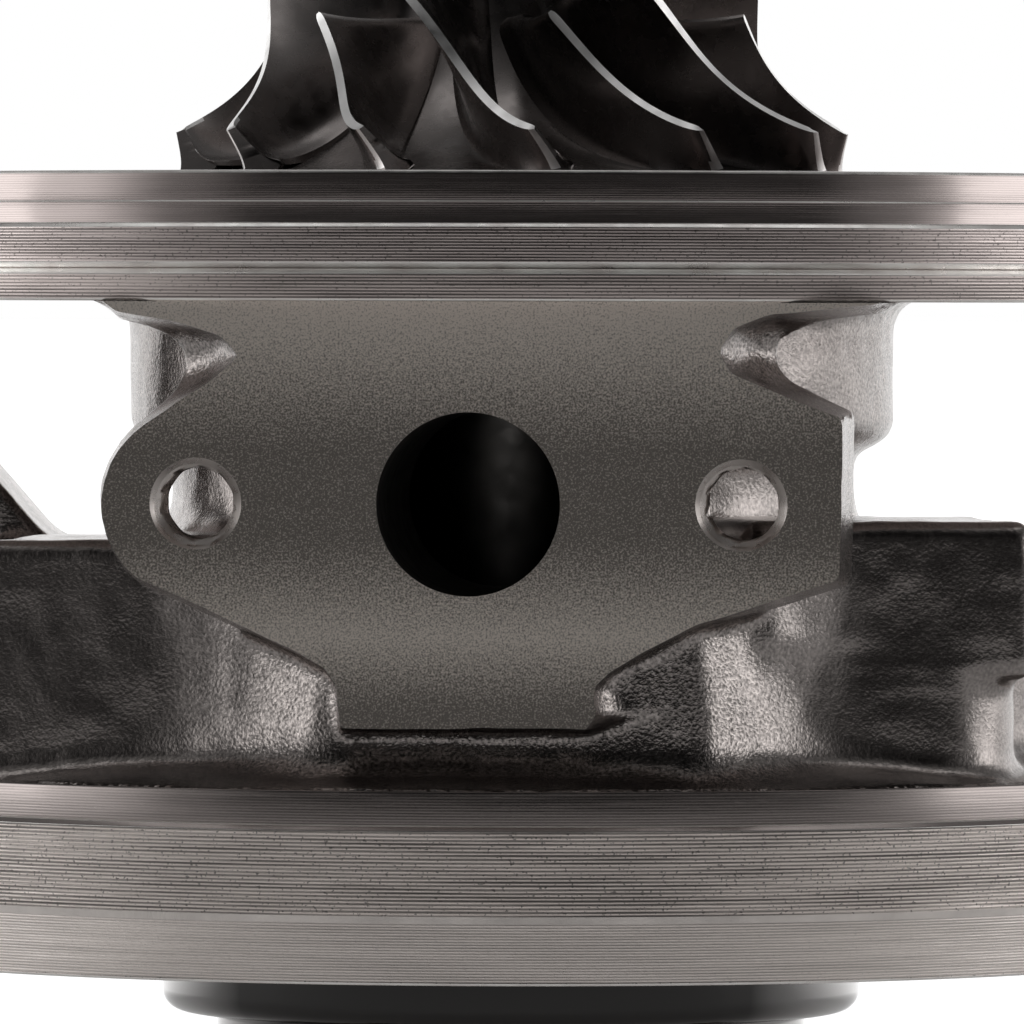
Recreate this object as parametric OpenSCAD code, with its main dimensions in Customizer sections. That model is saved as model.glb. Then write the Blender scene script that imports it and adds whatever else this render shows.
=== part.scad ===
// Turbocharger cartridge: bearing housing, rotor and everything between them.
// The rotor axis is +Z with the compressor up. The origin is on that axis, at
// the turbine face of the housing. The oil drain faces -Y.

/* [Housing] */
// Height from the turbine face to the compressor face
housing_h = 49.65; // [48:0.05:56]
// Radius of the compressor flange
compressor_flange_r = 53; // [50:0.5:60]
// Thickness of the compressor flange on the housing
compressor_flange_t = 2.25; // [1.5:0.05:4]
// Radius of the neck below the compressor flange
neck_r = 28; // [26:0.5:32]
// Height of the neck
neck_h = 10.6; // [8:0.1:13]
// Radius of the waist between neck and drum
waist_r = 25; // [22:0.5:25.5]
// Wall between the waist and the oil chamber
chamber_wall = 8; // [5:0.5:9]
// Radius of the drum at the turbine end
drum_r = 43; // [40:0.5:46]
// Height of the drum's top above the turbine face
drum_h = 29.7; // [26:0.1:31]
// Distance of the flat cast sides of the drum from the rotor axis
drum_flat = 42.4; // [41.5:0.1:43]
// Turn of the left flat side from the drain
left_flat_turn = 13.5; // [11:0.5:16]
// Reach of the left flat side
left_flat_w = 27; // [23:0.5:27.5]
// Rise of the left flat side above the drum's top
left_flat_rise = 0.8; // [0.5:0.1:1]
// Turn of the right flat side from the drain
right_flat_turn = 17; // [14:0.5:19]
// Reach of the right flat side
right_flat_w = 22; // [19:0.5:24]
// Extra reach of the step above it
right_step_w = 5.5; // [3:0.5:6]
// Height of that step's lower edge above the turbine face
right_step_z = 20.8; // [18:0.1:23]
// Rise of that step above the drum's top
right_step_rise = 2.3; // [0.5:0.1:2.5]
// Radius of the turbine flange
turbine_flange_r = 51.4; // [50:0.1:60]
// Height of the turbine flange's wide machined rim
turbine_rim_h = 11.1; // [8:0.1:13]
// Height of the pilot band at the foot of that rim
turbine_pilot_h = 4.8; // [3:0.1:7]
// Height of the narrower land above the rim
turbine_land_h = 2.35; // [1:0.05:4]
// Step in radius from the rim to the land
turbine_land_step = 0.8; // [0.6:0.1:1.5]
// Rise of the cast slope from the land to the drum
flange_slope_h = 1.85; // [1:0.05:4]
// Radius of the cast fillets
cast_fillet = 3; // [1.5:0.1:3.5]
// Chamfer on machined edges
edge_chamfer = 0.3; // [0.1:0.05:0.5]

/* [Side rib] */
// Thickness of the slanted rib on the left
rib_t = 2.3; // [1.5:0.1:4]
// Width of the rib from front to back
rib_w = 12; // [6:0.5:20]
// Distance of the rib's foot from the rotor axis
rib_foot = 33; // [31:0.5:35]

/* [Oil drain] */
// Distance of the drain face from the rotor axis
drain_face = 47.9; // [46:0.1:52]
// Height of the drain above the turbine face
drain_z = 33.3; // [32:0.1:35]
// Radius of the drain bore
drain_bore_r = 6.4; // [5:0.1:7]
// Distance between the two drain bolts
drain_bolt_span = 38; // [36:0.5:42]
// Radius of the drain bolt holes
drain_bolt_r = 2.5; // [2:0.1:3.3]
// Thickness of the drain lugs
drain_lug_t = 7; // [5:0.1:10]
// Radius of the drain lugs about their bolts
drain_lug_r = 6.6; // [5.5:0.1:7.5]
// Half width of the face at its left notch
drain_web_left = 15.9; // [14:0.1:17]
// Half width of the face at its right notch
drain_web_right = 17.4; // [15:0.1:18.5]
// Height of the notches above the drain
drain_notch_h = 10.4; // [9:0.1:11]
// Half width of the foot of the face
drain_foot_w = 8.8; // [7:0.1:11]
// Drop of the foot below the drain
drain_foot_h = 15.5; // [13.5:0.1:17]
// Wall of the cast duct round the drain bore
drain_wall = 4.5; // [3:0.1:6]
// How far the cast foot reaches to the right of the drain
cast_foot_reach = 15.6; // [12:0.1:17]
// Setback of the cast foot's front from the drain face
cast_foot_setback = 2.7; // [2:0.1:4]
// Run of the cast foot's slanted flanks
cast_foot_flank = 7; // [5:0.1:9]

/* [Oil inlet] */
// How far the inlet face stands out from the drum
inlet_proud = 2; // [1:0.5:5]
// Radius of the inlet's threaded hole
inlet_thread_r = 4.5; // [3:0.1:5.5]
// Depth of the threaded hole
inlet_thread_d = 10; // [7:0.5:12]
// Wall of the boss round the threaded hole
inlet_wall = 4; // [3:0.1:6]
// Radius of the oil galleries that lead to the bearings
gallery_r = 1.2; // [0.8:0.1:1.5]
// Radius of the upright gallery that feeds them
main_gallery_r = 1.5; // [1.2:0.1:2]

/* [Journal bearings] */
// Radius of the shaft's journals
journal_r = 3.2; // [3:0.05:3.6]
// Running clearance of the journals
journal_clearance = 0.03; // [0.01:0.01:0.06]
// Wall of the floating bearings
bearing_wall = 2.1; // [1.6:0.05:2.4]
// Running clearance of the bearings in the housing
bearing_clearance = 0.05; // [0.02:0.01:0.09]
// Length of a bearing
bearing_l = 7; // [6:0.1:8]
// Height of the turbine bearing's lower end
turbine_bearing_z = 6.8; // [6.5:0.1:8]
// Thickness of the circlips
circlip_t = 0.9; // [0.6:0.05:1]
// Depth of the circlip grooves
circlip_groove = 0.65; // [0.4:0.05:0.9]

/* [Thrust bearing] */
// Radius of the recess for the thrust bearing
thrust_recess_r = 18; // [17:0.1:19]
// Depth of that recess below the compressor face
thrust_recess_d = 7.7; // [7.3:0.05:8.5]
// Thickness of the thrust bearing
thrust_bearing_t = 2.3; // [1.8:0.05:2.5]
// Radius of the two thrust flanges on the shaft
thrust_flange_r = 8; // [7.2:0.1:8.4]
// Thickness of a thrust flange
thrust_flange_t = 1.7; // [1.2:0.05:1.9]
// Running gap at each thrust face
thrust_gap = 0.1; // [0.05:0.01:0.15]
// Sheet thickness of the oil deflector
deflector_t = 0.6; // [0.4:0.05:0.8]

/* [Backplate] */
// Thickness of the compressor backplate
backplate_t = 6.85; // [6:0.05:8.5]
// Step in radius from the compressor flange to the pilot for its cover
cover_pilot_step = 0.7; // [0.6:0.1:4]
// Height of the pilot
pilot_h = 3.7; // [3:0.05:4.5]
// Depth of the spigot in the housing
spigot_d = 2.65; // [2.4:0.05:3]
// Section of the spigot's sealing ring
oring_d = 1.2; // [0.8:0.05:1.5]
// Depth of the recess under the compressor wheel
wheel_recess_d = 0.9; // [0.5:0.05:1.5]
// Radial gap between that recess and the wheel
wheel_recess_gap = 0.7; // [0.3:0.05:1.5]
// Radius of the circle of backplate screws
screw_circle_r = 21.3; // [20.5:0.1:22]
// Radius of the backplate screws
screw_r = 1.5; // [1:0.1:1.8]
// Length of the backplate screws
screw_l = 12; // [9:0.5:14]
// Number of backplate screws
screw_count = 4; // [3:1:6]

/* [Seals] */
// Radius of the oil flinger where it passes the backplate
flinger_r = 6.2; // [5.6:0.1:6.6]
// Radius of the flinger's disc
flinger_disc_r = 7.6; // [7:0.1:8]
// Radius of the shaft's seal land at the turbine end
seal_land_r = 7.4; // [6.8:0.1:8]
// Radial gap round the seal lands
seal_gap = 0.2; // [0.1:0.05:0.3]
// Thickness of the piston rings
piston_ring_t = 1; // [0.7:0.05:1.3]
// Depth of the piston ring grooves
piston_ring_groove = 1.3; // [1:0.05:1.5]

/* [Compressor wheel] */
// Radius at the blade tips of the outlet
exducer_r = 24.4; // [23:0.1:26]
// Radius at the blade tips of the inlet
inducer_r = 17.9; // [16:0.1:20]
// Height of the blade tips at the outlet
exducer_h = 3.1; // [2.4:0.1:4]
// Thickness of the wheel's rim
wheel_rim_t = 0.7; // [0.5:0.05:1.2]
// Height of the blades along the hub
wheel_blade_h = 18; // [16:0.1:20]
// Height of the nose above the blades
wheel_nose_h = 3.3; // [2:0.1:5]
// Radius of the hub at the inlet
wheel_hub_r = 5.6; // [5:0.1:6.5]
// Pairs of full and splitter blades
blade_pairs = 6; // [5:1:7]
// Share of the blade's length that a splitter has
splitter_share = 0.7; // [0.5:0.01:0.8]
// Thickness of a blade at its root
blade_root_t = 1.4; // [1:0.05:1.6]
// Thickness of a blade at its tip
blade_tip_t = 0.65; // [0.5:0.05:0.9]
// Turn of the wheel as the photograph shows it
wheel_turn = 7.3; // [0:0.1:60]

/* [Turbine wheel] */
// Radius at the blade tips of the inlet
turbine_r = 21.3; // [20:0.1:23]
// Radius at the blade tips of the outlet
turbine_outlet_r = 18.4; // [17:0.1:19]
// Width of the blade tips at the inlet
turbine_inlet_h = 5.4; // [4:0.1:6.5]
// Height of the turbine blades
turbine_blade_h = 16.6; // [14:0.1:19]
// Radius of the hub at the outlet
turbine_hub_r = 6.2; // [5.5:0.1:7]
// Number of turbine blades
turbine_blades = 10; // [9:1:12]
// Height of the nose below the blades
turbine_nose_h = 5; // [3:0.1:7]
// Gap between the wheel and the heat shield
turbine_gap = 0.8; // [0.5:0.1:1.5]

/* [Shaft end] */
// Radius of the threaded end of the shaft
stub_r = 2.5; // [2:0.1:2.8]
// Width across flats of the shaft nut
nut_w = 8; // [7:0.1:9]
// Height of the shaft nut
nut_h = 4; // [3:0.1:5]
// Length of the shaft that stands out of the nut
stub_proud = 1; // [0.5:0.1:2]

/* [Heat shield] */
// Radius of the shield's rim
shield_rim_r = 25.6; // [24:0.1:28]
// Height of the rim
shield_rim_h = 4.6; // [3.5:0.1:5.5]
// Radius of the shield's can
shield_can_r = 21.6; // [20.5:0.1:22.5]
// Whole height of the shield
shield_h = 10.2; // [9:0.1:12]
// Sheet thickness
shield_t = 0.8; // [0.5:0.05:1]
// Corner radius of the pressing
shield_round = 1.6; // [1.2:0.1:2]
// Depth of the shield's seat in the turbine face
shield_seat_d = 0.3; // [0.2:0.05:0.6]

/* [Hidden] */
$fn = 96;

// Clearances and small laps
fit_gap = 0.05;
seat_gap = 0.03;
end_float = 0.2;
cut_lap = 1;
fuse_lap = 0.5;
steel_gap = 0.02;

// Heights on the housing
flange_z = housing_h - compressor_flange_t;
neck_z = flange_z - neck_h;
land_z = turbine_rim_h + turbine_land_h;
drum_foot_z = land_z + flange_slope_h;
pilot_step = 0.12;
inlet_face = drum_r + inlet_proud;

// Bearing bore, its tube and the oil chamber in front of it
bearing_r = journal_r + journal_clearance + bearing_wall;
bearing_bore_r = bearing_r + bearing_clearance;
circlip_groove_r = bearing_bore_r + circlip_groove;
circlip_inner_r = bearing_r - bearing_wall / 2;
circlip_mouth = 50;
bearing_tube_r = bearing_bore_r + 4.1;
chamber_r = waist_r - chamber_wall;
seal_wall_z = 2.6;
flinger_room = 2;
tube_z = seal_wall_z + flinger_room;
nose_h = 7;
nose_wall = 3;

// Thrust stack, downward from the compressor face
thrust_seat_z = housing_h - thrust_recess_d;
thrust_top_z = thrust_seat_z + thrust_bearing_t;
shoulder_z = thrust_seat_z - thrust_gap - thrust_flange_t;
washer_room_r = thrust_flange_r + 0.8;
washer_room_z = shoulder_z - 0.5;
compressor_bearing_z = washer_room_z - 1.6 - circlip_t - bearing_l;
collar_flange_z = thrust_top_z + thrust_gap;
flinger_z = collar_flange_z + thrust_flange_t;
spigot_z = housing_h - spigot_d;
spigot_r = thrust_recess_r - fit_gap;
deflector_z = spigot_z - deflector_t;
collar_hub_r = stub_r + 1.9;
pin_r = 1;
pin_depth = 3;
pin_circle_r = (washer_room_r + thrust_recess_r) / 2;
gallery_y = bearing_tube_r + main_gallery_r + 0.5;

// Backplate and wheel seat
pilot_r = compressor_flange_r - cover_pilot_step;
backplate_z = housing_h + backplate_t;
recess_z = backplate_z - wheel_recess_d;
wheel_z = recess_z + 0.4;
seal_bore_r = flinger_r + seal_gap;
flinger_room_r = flinger_disc_r + 0.8;
flinger_disc_t = 1.2;
flinger_room_z = flinger_z + flinger_disc_t + 0.8;
screw_head_r = screw_r * 1.9;
screw_head_h = screw_head_r - screw_r;
compressor_ring_z = (flinger_room_z + recess_z) / 2;

// Compressor wheel
wheel_rim_z = wheel_z + wheel_rim_t;
wheel_rim_r = exducer_r - 0.9;
wheel_top_z = wheel_rim_z + wheel_blade_h;
wheel_end_z = wheel_top_z + wheel_nose_h;
wheel_nose_r = wheel_hub_r - 0.9;
nut_z = wheel_end_z + nut_h;

// Turbine end, downward from the turbine face
shield_z = -shield_h;
shield_hole_r = seal_land_r + 0.9;
turbine_z = shield_z - turbine_gap;
turbine_rim_t = 0.9;
turbine_ring_z = -(nose_h - piston_ring_t) / 2;
turbine_seal_r = seal_land_r + seal_gap;
register_h = 1.4;
register_r = shield_rim_r - shield_t - fit_gap;
shield_seat_r = shield_rim_r + 2 * fit_gap;

// Blades: hub and shroud curves, wrap in degrees, thickness. A curve runs from
// the rim of a wheel to its end of least radius.
compressor_blade = [
    [[wheel_rim_r, wheel_rim_z], [wheel_hub_r, wheel_top_z], 1.4],
    [[exducer_r, wheel_rim_z + exducer_h], [inducer_r, wheel_top_z], 1.6, 4.5],
    [-30, -18, 4, 6],
    [blade_root_t, blade_tip_t]
];
turbine_blade = [
    [[turbine_r - 1.2, turbine_z - turbine_rim_t],
        [turbine_hub_r, turbine_z - turbine_rim_t - turbine_blade_h], 1.3],
    [[turbine_r, turbine_z - turbine_rim_t - turbine_inlet_h],
        [turbine_outlet_r, turbine_z - turbine_rim_t - turbine_blade_h], 1.2, 2.6],
    [0, 52, 2.6, 0],
    [1.9, 0.8]
];
blade_root_sink = -0.1;
along_steps = 12;
span_steps = 3;
hub_steps = 9;

// Point at a radius and height, turned from -Y toward +X
function polar(r, z, turn) = [r * sin(turn), -r * cos(turn), z];

// Hub point at the share s along a blade
function hub_point(blade, s) =
    let (rim = blade[0][0], end = blade[0][1], turn = 90 * pow(s, blade[0][2]))
    [rim.x - (rim.x - end.x) * sin(turn), end.y - (end.y - rim.y) * cos(turn)];

// Shroud point at the share s along a blade
function shroud_point(blade, s) =
    let (rim = blade[1][0], end = blade[1][1], w = pow(s, blade[1][2]))
    [end.x + (rim.x - end.x) * pow(1 - w, blade[1][3]), rim.y + (end.y - rim.y) * w];

// Turn of the blade at the share s along it and t from hub to shroud
function blade_turn(blade, s, t) =
    let (wrap = blade[2])
    wrap[0] * s + wrap[1] * pow(s, wrap[2]) + wrap[3] * (1 - t) * (1 - s);

// Middle surface of a blade
function blade_mid(blade, s, t) =
    let (hub = hub_point(blade, s), place = hub + (shroud_point(blade, s) - hub) * t)
    polar(place.x, place.y, blade_turn(blade, s, t));

// Unit normal of that surface
function blade_normal(blade, s, t) =
    let (
        d = 0.005,
        along = blade_mid(blade, min(1, s + d), t) - blade_mid(blade, max(0, s - d), t),
        across = blade_mid(blade, s, t + d) - blade_mid(blade, s, t - d),
        n = cross(along, across)
    )
    n / norm(n);

// Points on one side of a blade, the side being 1 or -1
function blade_side(blade, share, side) = [
    for (i = [0 : along_steps], j = [0 : span_steps])
        let (
            s = share * i / along_steps,
            t = blade_root_sink + (1 - blade_root_sink) * j / span_steps,
            half = (blade[3][0] + (blade[3][1] - blade[3][0]) * max(0, t)) / 2
        )
        blade_mid(blade, s, t) + side * half * blade_normal(blade, s, t)
];

// Two triangles for a four-cornered face
function split(a, b, c, d) = [[a, b, c], [a, c, d]];

// One blade as a closed solid
module blade_solid(blade, share) {
    row = span_steps + 1;
    back = row * (along_steps + 1);
    last = row * along_steps;
    sheet = [
        for (i = [0 : along_steps - 1], j = [0 : span_steps - 1])
            let (k = i * row + j)
            each concat(split(k, k + 1, k + row + 1, k + row),
                split(back + k, back + k + row, back + k + row + 1, back + k + 1))
    ];
    roots = [
        for (i = [0 : along_steps - 1])
            let (k = i * row, m = k + span_steps)
            each concat(split(k, k + row, back + k + row, back + k),
                split(m, back + m, back + m + row, m + row))
    ];
    ends = [
        for (j = [0 : span_steps - 1])
            each concat(split(j, back + j, back + j + 1, j + 1),
                split(last + j, last + j + 1, back + last + j + 1, back + last + j))
    ];
    polyhedron(
        concat(blade_side(blade, share, 1), blade_side(blade, share, -1)),
        concat(sheet, roots, ends)
    );
}

// A disc of one radius in a profile, chamfered below and above
module band(r, z0, z1, below = 0, above = 0) {
    polygon([[0, z0], [r - below, z0], [r, z0 + below], [r, z1 - above], [r - above, z1], [0, z1]]);
}

// A ring in a profile
module ring_band(r0, r1, z0, z1) {
    translate([r0, z0])
        square([r1 - r0, z1 - z0]);
}

// Filling of an inner corner in a profile, open toward dr and dz
module cove(r, z, size, dr, dz) {
    difference() {
        translate([r - (dr > 0 ? fuse_lap : size), z - (dz > 0 ? fuse_lap : size)])
            square(size + fuse_lap);
        translate([r + dr * size, z + dz * size])
            circle(size);
    }
}

// What rounds an outer corner off, the material lying toward dr and dz
module corner_cut(r, z, size, dr, dz) {
    difference() {
        translate([r - (dr > 0 ? cut_lap : size), z - (dz > 0 ? cut_lap : size)])
            square(size + cut_lap);
        translate([r + dr * size, z + dz * size])
            circle(size);
    }
}

// Place along -Y, from a distance to the rotor axis inward
module drain_side(distance, z) {
    translate([0, -distance, z])
        rotate([-90, 0, 0])
            children();
}

// Place along +Y, from a distance to the rotor axis inward
module inlet_side(distance, z) {
    translate([0, distance, z])
        rotate([90, 0, 0])
            children();
}

// Places of the drain bolts
module at_drain_bolts() {
    for (side = [-1, 1])
        translate([side * drain_bolt_span / 2, 0, 0])
            children();
}

// Places round the rotor axis
module round_axis(count, r, turn = 0) {
    for (i = [0 : count - 1])
        rotate([0, 0, turn + 360 * i / count])
            translate([r, 0, 0])
                children();
}

// Turned and cast outline of the housing
module housing_profile() {
    difference() {
        union() {
            band(turbine_flange_r - pilot_step, 0, turbine_pilot_h, 0, pilot_step);
            band(turbine_flange_r, turbine_pilot_h, turbine_rim_h, pilot_step, edge_chamfer);
            band(turbine_flange_r - turbine_land_step, turbine_rim_h, land_z);
            polygon([
                [0, land_z], [turbine_flange_r - turbine_land_step, land_z],
                [drum_r, drum_foot_z], [0, drum_foot_z]
            ]);
            band(drum_r, drum_foot_z, drum_h);
            band(waist_r, drum_h, neck_z);
            band(neck_r, neck_z, flange_z);
            band(compressor_flange_r, flange_z, housing_h, edge_chamfer, edge_chamfer);
            cove(waist_r, drum_h, cast_fillet, 1, 1);
            cove(neck_r, flange_z, cast_fillet, 1, -1);
        }
        ring_band(0, shield_seat_r, -cut_lap, shield_seat_d);
        corner_cut(drum_r, drum_h, cast_fillet, -1, -1);
        corner_cut(neck_r, neck_z, cast_fillet * 0.8, -1, 1);
    }
}

// Milled face of the drain, seen from -Y, about the drain's centre
module drain_outline() {
    top = flange_z + fuse_lap - drain_z;
    underside = flange_z - drain_z;
    bolt_x = drain_bolt_span / 2;
    lug_end = bolt_x + drain_lug_r;
    flare_h = underside - drain_notch_h;
    flare_w = 10;
    flare_r = (flare_w * flare_w + flare_h * flare_h) / (2 * flare_h);
    polygon([
        [-drain_web_left, top], [drain_web_right, top], [drain_web_right, drain_notch_h],
        [lug_end, drain_lug_r * 0.9], [lug_end, -drain_lug_r * 0.8],
        [drain_foot_w + 1.1, -drain_foot_h * 0.75], [drain_foot_w, -drain_foot_h * 0.81],
        [drain_foot_w, -drain_foot_h], [-drain_foot_w, -drain_foot_h],
        [-drain_foot_w, -drain_foot_h * 0.81], [-drain_foot_w - 1.1, -drain_foot_h * 0.73],
        [-bolt_x - drain_lug_r * 0.45, -drain_lug_r * 0.86],
        [-bolt_x - drain_lug_r * 0.45, drain_lug_r * 0.86], [-drain_web_left, drain_notch_h]
    ]);
    translate([-bolt_x, 0])
        circle(drain_lug_r);
    for (flare = [[-1, drain_web_left], [1, drain_web_right]])
        difference() {
            polygon([
                [flare[0] * (flare[1] - fuse_lap), top],
                [flare[0] * (flare[1] + flare_w), top],
                [flare[0] * (flare[1] + flare_w), underside],
                [flare[0] * flare[1], drain_notch_h],
                [flare[0] * (flare[1] - fuse_lap), drain_notch_h]
            ]);
            translate([flare[0] * (flare[1] + flare_w), underside - flare_r])
                circle(flare_r);
        }
}

// Drain flange, the duct behind it and the cast foot that carries it
module drain_casting() {
    duct_r = drain_bore_r + drain_wall;
    front = drain_face - cast_foot_setback;
    drain_side(drain_face, drain_z)
        mirror([0, 1, 0])
            linear_extrude(drain_lug_t)
                drain_outline();
    drain_side(drain_face - fuse_lap, drain_z) {
        cylinder(r = duct_r, h = drain_face - waist_r / 2);
        translate([-duct_r, -(flange_z - drain_z + fuse_lap), 0])
            cube([2 * duct_r, flange_z - drain_z + fuse_lap, drain_face - waist_r / 2]);
    }
    translate([0, 0, land_z - fuse_lap])
        linear_extrude(drum_h - land_z)
            polygon([
                [-drain_foot_w - cast_foot_flank, cast_foot_flank - front],
                [-drain_foot_w, -front], [cast_foot_reach, -front],
                [cast_foot_reach + cast_foot_flank, cast_foot_flank - front],
                [cast_foot_reach + cast_foot_flank, -waist_r],
                [-drain_foot_w - cast_foot_flank, -waist_r]
            ]);
}

// Oil inlet boss on the back
module inlet_boss() {
    inlet_side(inlet_face, drain_z) {
        cylinder(r1 = inlet_thread_r + inlet_wall - edge_chamfer,
            r2 = inlet_thread_r + inlet_wall, h = edge_chamfer);
        translate([0, 0, edge_chamfer])
            cylinder(r = inlet_thread_r + inlet_wall, h = inlet_face - waist_r / 2);
    }
}

// Slanted rib from the drum to the compressor flange
module side_rib() {
    rise = flange_z - drum_h + 2 * fuse_lap;
    width = rib_t * sqrt(2);
    run = min(rise, compressor_flange_r - rib_foot - width - edge_chamfer);
    translate([-rib_foot, rib_w / 2, drum_h - fuse_lap])
        rotate([90, 0, 0])
            linear_extrude(rib_w)
                polygon([[0, 0], [-run, rise], [-run - width, rise], [-width, 0]]);
}

// Cast block with a flat face on the drum, turned from the drain
module drum_block(turn, from, to, z0, z1) {
    bevel = cast_fillet / 2;
    depth = drum_flat - waist_r - cast_fillet;
    rotate([0, 0, turn])
        translate([0, -drum_flat, z0])
            linear_extrude(z1 - z0)
                polygon([
                    [from, bevel], [from + bevel, 0], [to - bevel, 0], [to, bevel],
                    [to, depth], [from, depth]
                ]);
}

// Flat sides of the drum left and right of the drain, with a step on the right
module drum_flats() {
    foot_z = land_z - fuse_lap;
    drum_block(-left_flat_turn, -left_flat_w, -left_flat_w / 4, foot_z, drum_h + left_flat_rise);
    drum_block(right_flat_turn, right_flat_w / 4, right_flat_w, foot_z, right_step_z + fuse_lap);
    drum_block(right_flat_turn, right_flat_w / 3, right_flat_w + right_step_w,
        right_step_z, drum_h + right_step_rise);
}

// Bores on the rotor axis, from the turbine face up
module axis_bores() {
    rotate_extrude() {
        ring_band(0, turbine_seal_r, -nose_h - cut_lap, seal_wall_z + fuse_lap);
        ring_band(0, bearing_tube_r, seal_wall_z, tube_z);
        ring_band(0, bearing_bore_r, tube_z - fuse_lap, washer_room_z + fuse_lap);
        ring_band(0, washer_room_r, washer_room_z, thrust_seat_z + fuse_lap);
        ring_band(0, thrust_recess_r, thrust_seat_z, housing_h + cut_lap);
        for (z = circlip_heights())
            ring_band(0, circlip_groove_r, z - fit_gap, z + circlip_t + fit_gap);
    }
}

// Oil chamber in front of the bearing tube, and its slot to the thrust bearing
module oil_chamber() {
    slot_turn = 60;
    rotate([0, 0, 180])
        rotate_extrude(angle = 180)
            ring_band(bearing_tube_r, chamber_r, seal_wall_z, washer_room_z - fuse_lap);
    rotate([0, 0, 180])
        rotate_extrude(angle = 180)
            ring_band(bearing_tube_r - fuse_lap, bearing_tube_r + fuse_lap, seal_wall_z, tube_z);
    rotate([0, 0, 270 - slot_turn / 2])
        rotate_extrude(angle = slot_turn)
            ring_band(bearing_tube_r + 1, chamber_r - 1, washer_room_z - cut_lap, thrust_seat_z + fuse_lap);
}

// Inlet thread, feed hole and galleries to the bearings
module oil_galleries() {
    inlet_side(inlet_face, drain_z) {
        translate([0, 0, -cut_lap])
            cylinder(r = inlet_thread_r, h = inlet_thread_d + cut_lap);
        cylinder(r = gallery_r, h = inlet_face - gallery_y);
    }
    translate([0, gallery_y, turbine_bearing_z])
        cylinder(r = main_gallery_r, h = thrust_seat_z - turbine_bearing_z + fuse_lap);
    for (z = [turbine_bearing_z, compressor_bearing_z])
        inlet_side(gallery_y, z + bearing_l / 2)
            cylinder(r = gallery_r, h = gallery_y - bearing_bore_r / 2);
}

// Drain bore and tapped drain bolt holes
module drain_holes() {
    drain_side(drain_face, drain_z) {
        translate([0, 0, -cut_lap])
            cylinder(r = drain_bore_r, h = drain_face - chamber_r + 3 * cut_lap);
        at_drain_bolts() {
            translate([0, 0, -cut_lap])
                cylinder(r = drain_bolt_r, h = drain_lug_t + 2 * cut_lap);
            translate([0, 0, -fuse_lap])
                cylinder(r1 = drain_bolt_r * 1.28 + fuse_lap, r2 = drain_bolt_r,
                    h = drain_bolt_r * 0.28 + fuse_lap);
        }
    }
}

// Holes for the backplate screws and the thrust bearing's pins
module face_holes() {
    translate([0, 0, backplate_z - wheel_recess_d - screw_l - seat_gap])
        round_axis(screw_count, screw_circle_r, 45)
            cylinder(r = screw_r + fit_gap, h = screw_l + backplate_t);
    translate([0, 0, thrust_seat_z - pin_depth])
        round_axis(2, pin_circle_r)
            cylinder(r = pin_r + steel_gap, h = pin_depth + fuse_lap);
}

module bearing_housing() {
    color("dimgray")
        difference() {
            union() {
                rotate_extrude()
                    housing_profile();
                translate([0, 0, -nose_h])
                    cylinder(r = turbine_seal_r + nose_wall, h = nose_h + shield_seat_d + fuse_lap);
                translate([0, 0, -register_h])
                    cylinder(r = register_r, h = register_h + shield_seat_d + fuse_lap);
                drain_casting();
                inlet_boss();
                side_rib();
                drum_flats();
            }
            axis_bores();
            oil_chamber();
            oil_galleries();
            drain_holes();
            face_holes();
        }
}

module compressor_backplate() {
    groove_z = backplate_z - pilot_h;
    oring_z = spigot_z + spigot_d / 2;
    color("gray")
        difference() {
            rotate_extrude()
                difference() {
                    union() {
                        band(compressor_flange_r, housing_h, groove_z, edge_chamfer * 1.5, edge_chamfer);
                        band(pilot_r, groove_z, backplate_z, 0, edge_chamfer);
                        band(spigot_r, spigot_z, housing_h);
                    }
                    ring_band(0, seal_bore_r, spigot_z - cut_lap, backplate_z + cut_lap);
                    ring_band(0, flinger_room_r, spigot_z - cut_lap, flinger_room_z);
                    ring_band(0, exducer_r + wheel_recess_gap, recess_z, backplate_z + cut_lap);
                    ring_band(spigot_r - oring_d + seat_gap, thrust_recess_r,
                        oring_z - oring_d / 2 - fit_gap, oring_z + oring_d / 2 + fit_gap);
                }
            face_holes();
            round_axis(screw_count, screw_circle_r, 45)
                translate([0, 0, recess_z - screw_head_h - seat_gap])
                    cylinder(r1 = screw_r + fit_gap, r2 = screw_head_r + fit_gap + seat_gap,
                        h = screw_head_h + seat_gap);
        }
}

module backplate_oring() {
    color("black")
        rotate_extrude()
            translate([thrust_recess_r - oring_d / 2 - steel_gap, spigot_z + spigot_d / 2])
                circle(d = oring_d - 2 * steel_gap);
}

module backplate_screws() {
    color("silver")
        round_axis(screw_count, screw_circle_r, 45)
            translate([0, 0, recess_z - screw_l]) {
                cylinder(r = screw_r, h = screw_l - screw_head_h);
                difference() {
                    translate([0, 0, screw_l - screw_head_h])
                        cylinder(r1 = screw_r, r2 = screw_head_r, h = screw_head_h);
                    translate([0, 0, screw_l - screw_head_h * 0.7])
                        cylinder(r = screw_r * 0.75, h = screw_head_h, $fn = 6);
                }
            }
}

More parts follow.
